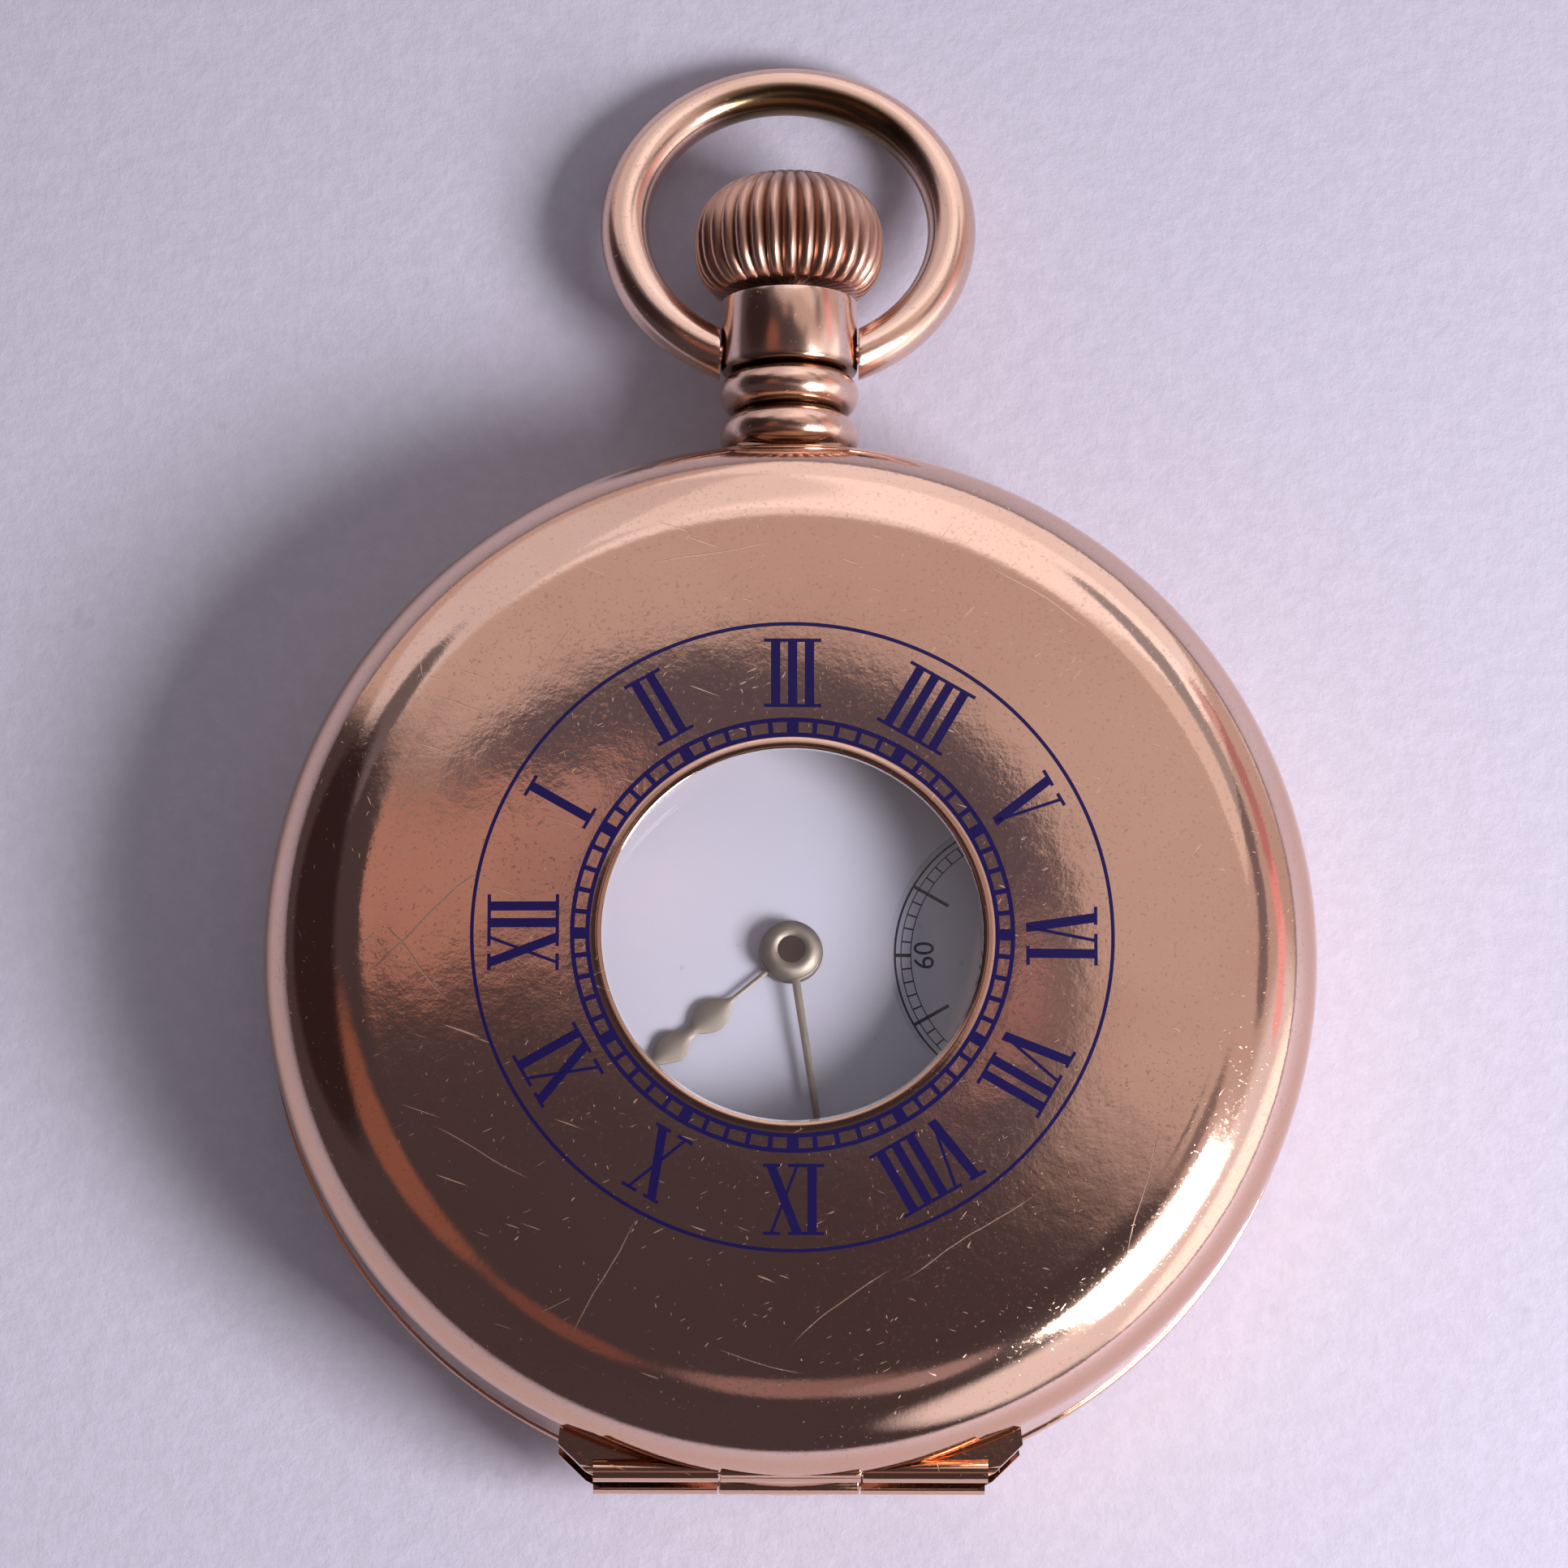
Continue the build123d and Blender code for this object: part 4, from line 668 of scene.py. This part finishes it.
def glass_material(name, tint):
    """Clear crystal that lets lamp light through to what lies under it."""
    tree, surface, output, place = new_material(name)
    lines = use_group(tree, "scratches", place, Scale=200, Amount=0.1)
    feed(tree, surface, Base_Color=rgba(tint), Transmission_Weight=1, IOR=1.45,
         Roughness=times(tree, lines, 0.1))
    path = add(tree, "LightPath").outputs
    either = math(tree, "MAXIMUM", path["Is Shadow Ray"], path["Is Diffuse Ray"])
    clear_where(tree, surface, output, either, [sqrt(part) for part in tint])


def jewel_material(name):
    """Synthetic ruby."""
    tree, surface, output, place = new_material(name)
    cloud = use_group(tree, "mottle", place, Scale=900, Sharpness=0.3)
    blend = mixed(tree, cloud, (0.45, 0.02, 0.06, 1), (0.62, 0.05, 0.12, 1))
    rough = plus(tree, 0.06, times(tree, cloud, 0.05))
    feed(tree, surface, Base_Color=blend, Roughness=rough, Transmission_Weight=0.35, IOR=1.76)


def paper_material(name, colour):
    """Pale paper: soft mottling, and faint specks, seen from above only."""
    tree, surface, output, place = new_material(name)
    cloud = use_group(tree, "mottle", place, Scale=14, Sharpness=0.3)
    specks = use_group(tree, "speckle", place, Scale=240, Amount=0.05, Patches=30)
    grain = noise(tree, place, 900, 6, Roughness=0.7)
    fibre = smooth_step(tree, grain, 0.62, 0.42)
    blend = mixed(tree, times(tree, cloud, 0.25), rgba(colour), rgba(colour, 0.86))
    blend = mixed(tree, times(tree, fibre, 0.22), blend, rgba(colour, 0.78))
    blend = mixed(tree, times(tree, specks, 0.18), blend, rgba(colour, 0.5))
    feed(tree, surface, Base_Color=blend, Roughness=0.85, Specular_IOR_Level=0.2)
    bump(tree, surface, grain, 0.5, 0.0002)
    clear_where(tree, surface, output, add(tree, "NewGeometry").outputs["Backfacing"])


FINISHED_NODES = {
    "rose_gold": ("case_band",),
    "rose_gold_inside": ("pendant", "front_hinge_pin", "back_hinge_pin", "cuvette_hinge_pin", "bezel",
                         "cuvette", "front_lid", "back_lid", "bow", "crown"),
    "clear_crystal": ("dial_glass", "window_glass"),
    "white_enamel": ("dial", "seconds_dial"),
    "ruby": ("end_stone", "lever_stones"),
    "brass_frosted": ("main_plate", "barrel_bridge", "train_bridge", "balance_cock", "lever_bridge"),
    "brass_wheel": ("barrel", "centre_wheel", "third_wheel", "fourth_wheel", "balance_wheel", "minute_wheel",
                    "hour_wheel"),
    "hand_metal": ("minute_hand", "hour_hand", "seconds_hand"),
    "hub_shade": ("cannon_pinion", "centre_pinion"),
    "steel_blued": ("bridge_screws", "ratchet_screw", "click_screw", "hairspring"),
}
NODE_FINISHES = {name: finish for finish, names in FINISHED_NODES.items() for name in names}


# Operators


class WATCH_OT_materials(bpy.types.Operator):
    """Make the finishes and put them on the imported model's nodes"""

    bl_idname = "watch.materials"
    bl_label = "Materials"

    def execute(self, context):
        case, face = context.scene.watch_case, context.scene.watch_dial
        gold = (case.gold, case.gold_dark)
        gold_material("rose_gold", *gold, 0.065, 0.5, 0.4)
        # Painted shade on the window's rim and on the wall inside it.
        patina_and_painted_shade("rose_gold", window_rim_painted_shade, 0.6, (0.34, 0.19, 0.12))
        # Painted shade: the lids' outer rim is drawn darker and warmer, the way a darker reflection would
        # show it.
        patina_and_painted_shade("rose_gold", outer_rim_painted_shade, 0.6, (0.74, 0.42, 0.25))
        gold_material("rose_gold_pendant", *gold, 0.17, 0.4, 0.5)
        # Painted shade in the pendant's foot and in the grooves beside its beads.
        patina_and_painted_shade("rose_gold_pendant", neck, 0.75, (0.16, 0.09, 0.05))
        gold_material("rose_gold_bow", *gold, 0.17, 0.4, 0.5)
        patina_and_painted_shade("rose_gold_bow", bow_inside, 0.95, (0.13, 0.085, 0.04))
        gold_material("rose_gold_crown", (0.66, 0.42, 0.33), (0.46, 0.26, 0.19), 0.29, 0.35, 0.7)
        patina_and_painted_shade("rose_gold_crown", flute_valleys, 0.5, (0.17, 0.07, 0.045))
        gold_material("rose_gold_inside", *gold, 0.26, 0.25, 0.3)
        enamel_material("blue_enamel", case.enamel, 0.28, 0.25)
        enamel_material("white_enamel", face.enamel, 0.22, 0.08)
        enamel_material("dial_print", face.print_colour, 0.45, 0.1)
        metal_material("hand_metal", face.hand, [part * 0.7 for part in face.hand], 0.45, 1800, 6, 0.15)
        metal_material("hub_shade", (0.09, 0.06, 0.05), (0.05, 0.035, 0.03), 0.4, 1800, 6, 0.08)
        metal_material("steel_polished", (0.60, 0.60, 0.62), (0.45, 0.45, 0.48), 0.2, 1600, 24, 0.1)
        metal_material("steel_blued", (0.05, 0.09, 0.32), (0.03, 0.05, 0.2), 0.18, 1600, 6, 0.05)
        metal_material("brass_frosted", (0.80, 0.60, 0.30), (0.62, 0.44, 0.2), 0.42, 2600, 1, 0.35)
        metal_material("brass_wheel", (0.82, 0.62, 0.32), (0.66, 0.46, 0.22), 0.25, 1200, 20, 0.12)
        glass_material("clear_crystal", (0.97, 0.98, 0.99))
        jewel_material("ruby")
        for name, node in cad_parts.items():
            for slot in node.material_slots:
                slot.material = MATERIALS[NODE_FINISHES.get(name, "steel_polished")]
        return {"FINISHED"}


class WATCH_OT_front_cover(bpy.types.Operator):
    """Turn the domed front lid with its window rim, hinge barrel and lip"""

    bl_idname = "watch.front_cover"
    bl_label = "Front lid"

    def execute(self, context):
        bm = bmesh.new()
        outline = [(WINDOW_RADIUS, 12.38), (WINDOW_RADIUS, 13.2), (8.98, 13.34), (8.98, 13.41), (9.04, 13.45),
                   (9.2, 13.46), (9.34, 13.45), (9.44, 13.42)]
        outline += [(r, dome(r)) for r in (9.6, *(step + 0.5 for step in range(10, 19)), 19.3, 20)]
        shoulder = [radians(degrees) for degrees in range(84, -1, -4)]
        outline += [(19.8 + 5.2 * cos(angle), 8.88 + 4.1 * sin(angle)) for angle in shoulder]
        outline += lip(8.63, 1) + arc((21, 8.88), 3.5, 0, 90, 8)
        turned(bm, outline, context.scene.watch_case.steps)
        clear_knuckles(bm, FRONT_HINGE_Z, 1)
        hinge_leaf(bm, FRONT_HINGE_Z, 8.45, 9.23)
        box(bm, (-1.4, 24.2, 8.68), (1.4, 24.75, 8.9), 0.05)
        made = piece(bm, "front_cover_shell", "rose_gold")
        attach(made, "front_cover")
        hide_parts("front_lid")
        return {"FINISHED"}


class WATCH_OT_enamel_ring(bpy.types.Operator):
    """Lay the blue enamel numerals and tracks in the front lid"""

    bl_idname = "watch.enamel_ring"
    bl_label = "Enamel chapter ring"

    def execute(self, context):
        case = context.scene.watch_case
        bm = bmesh.new()
        for hour, text in enumerate(NUMERALS):
            roman(bm, text, case.numeral_inner / MM, case.numeral_outer / MM, 1, 180 - 30 * hour)
        raise_print(bm, lambda radius: dome(radius) - 0.01, 0.03)
        made = piece(bm, "lid_numerals", "blue_enamel")
        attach(made, "front_cover")
        bm = bmesh.new()
        inner, outer = case.ring_inner / MM + TRACK_LINE, case.ring_outer / MM - TRACK_LINE
        line = case.line_radius / MM
        flat_ring(bm, inner - TRACK_LINE, inner, case.steps)
        flat_ring(bm, outer, outer + TRACK_LINE, case.steps)
        flat_ring(bm, line - 0.085, line + 0.085, case.steps)
        ticks(bm, inner, outer, 0.23, 60, skip=5)
        ticks(bm, inner, outer, 0.55, 12)
        raise_print(bm, lambda radius: dome(radius) - 0.01, 0.03)
        made = piece(bm, "lid_tracks", "blue_enamel")
        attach(made, "front_cover")
        return {"FINISHED"}


class WATCH_OT_window(bpy.types.Operator):
    """Grind the domed crystal in the front lid's window"""

    bl_idname = "watch.window"
    bl_label = "Window crystal"

    def execute(self, context):
        bm = bmesh.new()
        outline = [(0, 12.4), (9.03, 12.4), (9.03, 13.2), (8.96, 13.36), (8.9, 13.44)]
        outline += [(r, 13.718 - 0.27 * (r / 8.9) ** 2) for r in (8.6, 8, 7, 6, 5, 4, 3, 2, 1, 0)]
        turned(bm, outline, 192, closed=False)
        made = piece(bm, "window_crystal", "clear_crystal")
        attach(made, "front_cover")
        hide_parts("window_glass")
        return {"FINISHED"}


class WATCH_OT_back_cover(bpy.types.Operator):
    """Turn the plain back lid with its round shoulder and hinge barrel"""

    bl_idname = "watch.back_cover"
    bl_label = "Back lid"

    def execute(self, context):
        bm = bmesh.new()
        outline = [(0, 0.5), (0, 0), (8, 0), (15, 0), (20, 0)] + arc((21.8, 3.2), 3.2, -90, 0, 20)
        outline += lip(3.97, -1) + arc((21.8, 3.2), 2.7, 0, -90, 8)
        turned(bm, outline, context.scene.watch_case.steps)
        clear_knuckles(bm, BACK_HINGE_Z, -1)
        hinge_leaf(bm, BACK_HINGE_Z, 3.37, 4.15)
        made = piece(bm, "back_cover_shell", "rose_gold")
        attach(made, "back_cover")
        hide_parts("back_lid")
        return {"FINISHED"}


class WATCH_OT_pendant(bpy.types.Operator):
    """Turn the pendant with its two beads and its neck"""

    bl_idname = "watch.pendant"
    bl_label = "Pendant"

    def execute(self, context):
        bm = bmesh.new()
        outline = [(1.45, 25.3), (2.35, 25.3)]
        outline += arc((2.3, 26.36), 1.08, -88, 80, 16) + arc((2.34, 28.5), 1.04, -80, 80, 16)
        outline += [(2.86, 29.55), (3.1, 29.6), (3.24, 29.66), (3.32, 29.8), (3.32, 32.95), (3.28, 33.15),
                    (3.12, 33.2), (1.45, 33.2)]
        turned(bm, outline, 96, moved(0, 0, STEM_Z) @ ALONG_Y)
        box(bm, (-2.6, 24.4, 4.5), (2.6, 25.5, 8.1), 0.25)
        made = piece(bm, "pendant_turned", "rose_gold_pendant")
        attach(made, "case")
        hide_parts("pendant")
        return {"FINISHED"}


class WATCH_OT_bow(bpy.types.Operator):
    """Bend the bow from round wire, its ends at the pendant's sides"""

    bl_idname = "watch.bow"
    bl_label = "Bow"

    def execute(self, context):
        crown = context.scene.watch_crown
        radius, wire = crown.bow_radius, crown.wire_radius
        face = BOW_FACE * MM
        middle = sqrt(radius**2 - face**2)
        gap = atan2(face, middle) - 0.2
        bm = bmesh.new()
        made = bmesh.ops.create_circle(bm, cap_ends=False, segments=48, radius=wire)["verts"]
        stand = Matrix.Translation((0, -radius, 0)) @ Matrix.Rotation(QUARTER, 4, "Y")
        bmesh.ops.transform(bm, matrix=Matrix.Rotation(gap, 4, "Z") @ stand, verts=made)
        bmesh.ops.spin(bm, geom=list(bm.edges), axis=(0, 0, 1), angle=TURN - 2 * gap, steps=132)
        bmesh.ops.remove_doubles(bm, verts=bm.verts, dist=JOIN)
        bmesh.ops.translate(bm, vec=(0, middle, 0), verts=bm.verts)
        for side in (-1, 1):
            middles = [(item, item.calc_center_median()) for item in bm.faces]
            near = [item for item, spot in middles if spot.y < 4 * MM and spot.x * side > 0]
            edges = {edge for item in near for edge in item.edges}
            verts = {vert for item in near for vert in item.verts}
            bmesh.ops.bisect_plane(
                bm, geom=near + list(edges) + list(verts), dist=JOIN / 10, plane_co=(side * face, 0, 0),
                plane_no=(side, 0, 0), clear_inner=True,
            )
        bmesh.ops.holes_fill(bm, edges=[edge for edge in bm.edges if edge.is_boundary], sides=0)
        rounded(bm, [edge for edge in bm.edges if any(len(item.verts) > 4 for item in edge.link_faces)], 0.1)
        for inner, outer in ((-3.9, -2.9), (2.9, 3.9)):
            rod(bm, 0.5, (inner, 0, 0), (outer, 0, 0), 24, 0.05)
        place = moved(0, BOW_PIVOT_Y, STEM_Z) @ Matrix.Rotation(-crown.bow_drop, 4, "X")
        bmesh.ops.transform(bm, matrix=place, verts=bm.verts)
        made = piece(bm, "bow_wire", "rose_gold_bow")
        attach(made, "bow_ring")
        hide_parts("bow")
        return {"FINISHED"}


class WATCH_OT_crown(bpy.types.Operator):
    """Turn the onion crown and cut its flutes"""

    bl_idname = "watch.crown"
    bl_label = "Crown"

    def execute(self, context):
        crown = context.scene.watch_crown
        bm = bmesh.new()
        outline = [(0, 3), (1.4, 3), (1.4, 0), (3.3, 0), (3.5, 0.04), (3.72, 0.16), (4, 0.42), (4.3, 0.85),
                   (4.5, 1.4), (4.6, 2.1), (4.62, 2.8), (4.52, 3.5), (4.28, 4.15), (3.9, 4.72),
                   (3.35, 5.2), (2.6, 5.6), (1.7, 5.86), (1.2, 5.93), (0.8, 5.96), (0, 6)]
        turned(bm, outline, crown.flutes * 10, closed=False)
        for vert in bm.verts:
            reach = hypot(vert.co.x, vert.co.y)
            if reach >= 1.6 * MM and vert.co.z >= 0.02 * MM:
                angle = atan2(vert.co.y, vert.co.x) * crown.flutes / 2
                fade = min((reach / MM - 1.5) / 2.2, 1)
                cut = crown.flute_depth * fade * (1 - abs(cos(angle))) ** 1.15
                vert.co.x *= 1 - cut / reach
                vert.co.y *= 1 - cut / reach
        bmesh.ops.transform(bm, matrix=moved(0, CROWN_BASE_Y, STEM_Z) @ ALONG_Y, verts=bm.verts)
        made = piece(bm, "crown_fluted", "rose_gold_crown", crease=50)
        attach(made, "crown_group")
        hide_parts("crown")
        return {"FINISHED"}


class WATCH_OT_dial_print(bpy.types.Operator):
    """Print the tracks and numerals on the dial and on the seconds dial"""

    bl_idname = "watch.dial_print"
    bl_label = "Dial print"

    def execute(self, context):
        bm = bmesh.new()
        flat_ring(bm, 18.45, 18.52, 256)
        flat_ring(bm, 19.05, 19.12, 256)
        ticks(bm, 18.52, 19.05, 0.1, 60, skip=5)
        ticks(bm, 18.52, 19.05, 0.3, 12)
        for hour, text in enumerate(NUMERALS):
            if text in ("V", "VII"):
                roman(bm, text, 15.2, 18, 0.75, 180 - 30 * hour)
            elif text != "VI":
                roman(bm, text, 14.2, 18, 0.9, 180 - 30 * hour)
        raise_print(bm, lambda radius: DIAL_TOP_Z - PRINT_DEPTH, PRINT_THICKNESS)
        made = piece(bm, "dial_numerals", "dial_print")
        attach(made, "case")
        bm = bmesh.new()
        at = SECONDS_PLACE
        for inner, outer in ((6.58, 6.68), (6.32, 6.37), (5.86, 5.91)):
            flat_ring(bm, inner, outer, 160, at)
        ticks(bm, 5.91, 6.32, 0.075, 60, skip=5, centre=at)
        ticks(bm, 4.75, 6.6, 0.16, 6, start=150, centre=at)
        ticks(bm, 5.86, 6.6, 0.16, 6, start=180, centre=at)
        for step, text in enumerate(("60", "10", "20", "30", "40", "50")):
            digits(bm, text, 0.95, 5.22, 180 - 60 * step, at)
        raise_print(bm, lambda radius: SECONDS_DIAL_TOP_Z - PRINT_DEPTH, PRINT_THICKNESS)
        made = piece(bm, "seconds_track", "dial_print")
        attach(made, "case")
        return {"FINISHED"}


class WATCH_OT_hands(bpy.types.Operator):
    """Shape the three hands with their domed bosses"""

    bl_idname = "watch.hands"
    bl_label = "Hands"

    def execute(self, context):
        bm = bmesh.new()
        outline = [(1.1, 0.12), (3.5, 0.1), (3.75, 0.2), (4.05, 0.46), (4.4, 0.68), (4.8, 0.76), (5.2, 0.68),
                   (5.6, 0.44), (5.85, 0.24), (6.1, 0.3), (6.3, 0.28), (6.5, 0.46), (6.85, 0.68), (7.2, 0.74),
                   (7.5, 0.62), (7.85, 0.42), (8.25, 0.18), (8.7, 0.03)]
        blade(bm, outline, 0.1, 0.14, 8.75, 219.4)
        turned(bm, [(1.1, 8.66), (1.45, 8.66), (1.5, 8.78), (1.42, 8.95), (1.25, 9), (1.1, 9)], 96)
        made = piece(bm, "hour_hand_leaf", "hand_metal")
        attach(made, "hour_group")
        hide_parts("hour_hand")
        bm = bmesh.new()
        blade(bm, [(0.8, 0.2), (6, 0.17), (12, 0.14), (15.4, 0.11), (16, 0.04)], 0.05, 0.1, 9.27, -81.4)
        turned(bm, [(0.62, 9.12), (1.25, 9.12), (1.4, 9.22), (1.38, 9.38), (1.22, 9.54), (0.98, 9.63),
                    (0.76, 9.62), (0.64, 9.54), (0.62, 9.45)], 96)
        made = piece(bm, "minute_hand_slim", "hand_metal")
        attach(made, "minute_group")
        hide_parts("minute_hand")
        bm = bmesh.new()
        blade(bm, [(-1.9, 0.12), (-0.4, 0.09), (3, 0.06), (5.8, 0.03)], 0.02, 0.05, 8.36, 35, SECONDS_PLACE)
        turned(bm, [(0, 8.36), (0.6, 8.36), (0.62, 8.42), (0.5, 8.5), (0.25, 8.53), (0, 8.54)], 48,
               moved(*SECONDS_PLACE), closed=False)
        made = piece(bm, "seconds_hand_slim", "hand_metal")
        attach(made, "fourth_group")
        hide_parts("seconds_hand")
        return {"FINISHED"}


LAMP_AIM = (0, 0, 0.01)
CAMERA_LENS = 193.2
CAMERA_TARGET = Vector((0, 0.0003, 0.008))
CAMERA_OFFSET = Vector((-0.02, -0.21, 0.978)) * 0.400
CAMERA_AIM = Vector((-0.0003, 0.0085, 0.008))
# Parts of the room about a direction: outer and inner angle in degrees, colour
ROOM_PATCHES = (
    ((-0.03, 0.173, 0.985), 9.36, 8.56, (0.1, 0.085, 0.11)),
    ((-0.2, -0.22, 0.955), 28, 24.5, (0.068, 0.052, 0.06)),
    ((0.93, -0.313, 0.193), 34, 24, (0.95, 0.9, 0.95)),
    ((0.566, -0.732, 0.379), 24, 14, (1, 0.93, 0.97)),
    ((0.945, -0.323, -0.048), 26, 19, (1.7, 1.6, 1.6)),
    ((0.615, -0.159, 0.772), 13, 8, (0.62, 0.5, 0.5)),
    ((0.444, 0.015, 0.896), 5, 2.5, (0.26, 0.2, 0.2)),
    ((0.775, 0.514, -0.368), 26, 20, (0.95, 0.86, 0.87)),
    ((0.304, 0.879, 0.368), 30, 27, (1.08, 1, 1.04)),
    ((0.02, 0.826, 0.563), 30, 26, (1.08, 1, 1.04)),
    ((-0.335, 0.778, 0.532), 26, 22, (0.76, 0.69, 0.72)),
    ((0.742, 0.161, 0.651), 6, 3.5, (0.24, 0.19, 0.21)),
    ((0.73, 0.273, 0.627), 6, 3.5, (0.22, 0.18, 0.2)),
    ((0.69, 0.377, 0.618), 6, 3.5, (0.21, 0.17, 0.19)),
    ((0.637, 0.472, 0.61), 6, 3.5, (0.2, 0.16, 0.18)),
    ((0.578, 0.545, 0.607), 6, 3.5, (0.17, 0.14, 0.16)),
    ((0.53, 0.622, 0.577), 7, 4.5, (0.13, 0.12, 0.15)),
    ((0.472, 0.677, 0.564), 6, 3.5, (0.15, 0.14, 0.17)),
    ((0.931, 0.099, 0.351), 6, 3.5, (1.15, 0.6, 0.62)),
    ((0.921, 0.211, 0.327), 6, 3.5, (1.15, 0.58, 0.6)),
    ((0.875, 0.315, 0.366), 6, 3.5, (1, 0.45, 0.48)),
    ((0.827, 0.411, 0.384), 6, 3.5, (0.6, 0.26, 0.28)),
    ((0.777, 0.5, 0.382), 6, 3.5, (0.52, 0.24, 0.26)),
    ((0.718, 0.581, 0.382), 6, 3.5, (0.5, 0.24, 0.26)),
    ((-0.476, -0.051, 0.878), 13, 8, (0.26, 0.11, 0.08)),
    ((-0.267, -0.284, 0.921), 8, 4, (0.19, 0.08, 0.07)),
    ((0.02, -0.364, 0.931), 10, 5, (0.3, 0.19, 0.19)),
    ((0.205, -0.429, 0.88), 8, 4, (0.42, 0.31, 0.32)),
    ((-0.514, 0.494, 0.702), 10, 7, (0.17, 0.15, 0.17)),
    ((-0.807, 0.211, 0.552), 25, 19, (0.03, 0.018, 0.02)),
    ((-0.15, 0.232, 0.961), 2.9, 2.5, (0.47, 0.26, 0.22)),
    ((-0.1, 0.237, 0.966), 2.5, 2.1, (0.47, 0.27, 0.23)),
    ((-0.047, 0.234, 0.971), 2.1, 1.7, (0.45, 0.27, 0.25)),
    ((0.082, 0.19, 0.978), 1.4, 1, (0.48, 0.28, 0.27)),
    ((0.281, 0.085, 0.956), 1.8, 0.8, (0.2, 0.16, 0.16)),
)


class WATCH_OT_stage(bpy.types.Operator):
    """Set the floor, the lights and the camera"""

    bl_idname = "watch.stage"
    bl_label = "Stage"

    def execute(self, context):
        settings = context.scene.watch_stage
        bm = bmesh.new()
        bmesh.ops.create_grid(bm, x_segments=1, y_segments=1, size=1.5)
        paper_material("paper", settings.floor)
        floor = piece(bm, "floor", "paper")
        self.world(context, settings)
        self.lamp("key", (0.193, -0.103, 0.206), (0.12, 0.12), 0.92 * settings.key, (1, 0.98, 0.97))
        self.lamp("back", (0.24, 0.55, 0.50), (0.80, 0.50), 0.30 * settings.window, (1, 0.97, 0.96))
        self.camera(context)
        return {"FINISHED"}

    def lamp(self, name, place, size, power, colour):
        """A soft rectangular lamp turned toward the watch."""
        light = bpy.data.lights.new(name, "AREA")
        light.shape = "RECTANGLE"
        light.size, light.size_y = size
        light.energy = power
        light.color = colour
        made = shown_object(name, light)
        made.location = place
        made.rotation_euler = (Vector(LAMP_AIM) - Vector(place)).to_track_quat("-Z", "Y").to_euler()

    def world(self, context, settings):
        """An even sky for light, with darker and warmer parts of a room for the metal to show."""
        world = bpy.data.worlds.new("room")
        world.use_nodes = True
        context.scene.world = world
        tree = world.node_tree
        tree.nodes.clear()
        toward = add(tree, "TexCoord").outputs["Generated"]
        side = vector(tree, "DOT_PRODUCT", toward, (0.5, 0.866, 0), "Value")
        lit = smooth_step(tree, side, 0.125, 0.22)
        tone = mixed(tree, lit, (0.070, 0.054, 0.062, 1), (0.61, 0.48, 0.45, 1))
        for direction, outer, inner, colour in ROOM_PATCHES:
            near = vector(tree, "DOT_PRODUCT", toward, tuple(Vector(direction).normalized()), "Value")
            patch = smooth_step(tree, near, cos(radians(outer)), cos(radians(inner)))
            tone = mixed(tree, patch, tone, rgba(colour))
        path = add(tree, "LightPath").outputs
        shown = math(tree, "MAXIMUM", path["Is Glossy Ray"], path["Is Transmission Ray"])
        even = add(tree, "Background", Color=(1, 0.985, 0.99, 1), Strength=settings.sky)
        mirror = add(tree, "Background", Color=tone, Strength=1)
        white = add(tree, "Background", Color=(0.93, 0.92, 0.97, 1), Strength=1)
        first = add(tree, "MixShader", i0=shown, i1=even.outputs[0], i2=mirror.outputs[0])
        last = add(tree, "MixShader", i0=path["Is Camera Ray"], i1=first.outputs[0], i2=white.outputs[0])
        add(tree, "OutputWorld", Surface=last.outputs[0])

    def camera(self, context):
        """The photograph's view: from above, leaning back toward the hinge."""
        data = bpy.data.cameras.new("camera")
        data.lens = CAMERA_LENS
        data.sensor_width = 36.0
        data.clip_start, data.clip_end = 0.01, 10.0
        made = shown_object("camera", data)
        made.location = CAMERA_TARGET + CAMERA_OFFSET
        toward = (made.location - CAMERA_AIM).normalized()
        across = Vector((0, 1, 0)).cross(toward).normalized()
        made.rotation_euler = Matrix((across, toward.cross(across), toward)).transposed().to_euler()
        context.scene.camera = made
        context.scene.view_settings.view_transform = "Standard"


class WATCH_PT_panel(bpy.types.Panel):
    """Sizes of the watch and the steps that build it"""

    bl_label = "Pocket watch"
    bl_idname = "WATCH_PT_panel"
    bl_space_type = "VIEW_3D"
    bl_region_type = "UI"
    bl_category = "Watch"

    def draw(self, context):
        for name, group in GROUP_CLASSES:
            column = self.layout.column()
            for label in group.__annotations__:
                column.prop(getattr(context.scene, name), label)
        for operator in OPERATORS:
            self.layout.operator(operator.bl_idname)


GROUP_CLASSES = (
    ("watch_case", CaseSizes),
    ("watch_crown", CrownSizes),
    ("watch_dial", DialSizes),
    ("watch_stage", StageSizes),
)
OPERATORS = (
    WATCH_OT_materials,
    WATCH_OT_front_cover,
    WATCH_OT_enamel_ring,
    WATCH_OT_window,
    WATCH_OT_back_cover,
    WATCH_OT_pendant,
    WATCH_OT_bow,
    WATCH_OT_crown,
    WATCH_OT_dial_print,
    WATCH_OT_hands,
    WATCH_OT_stage,
)


def register():
    for label, group in GROUP_CLASSES:
        bpy.utils.register_class(group)
        setattr(bpy.types.Scene, label, PointerProperty(type=group))
    for operator in OPERATORS:
        bpy.utils.register_class(operator)
    bpy.utils.register_class(WATCH_PT_panel)


def unregister():
    bpy.utils.unregister_class(WATCH_PT_panel)
    for operator in reversed(OPERATORS):
        bpy.utils.unregister_class(operator)
    for label, group in reversed(GROUP_CLASSES):
        delattr(bpy.types.Scene, label)
        bpy.utils.unregister_class(group)


def main():
    """Builds everything in order."""
    register()
    bpy.ops.watch.materials()
    bpy.ops.watch.front_cover()
    bpy.ops.watch.enamel_ring()
    bpy.ops.watch.window()
    bpy.ops.watch.back_cover()
    bpy.ops.watch.pendant()
    bpy.ops.watch.bow()
    bpy.ops.watch.crown()
    bpy.ops.watch.dial_print()
    bpy.ops.watch.hands()
    bpy.ops.watch.stage()


if __name__ == "__main__":
    main()
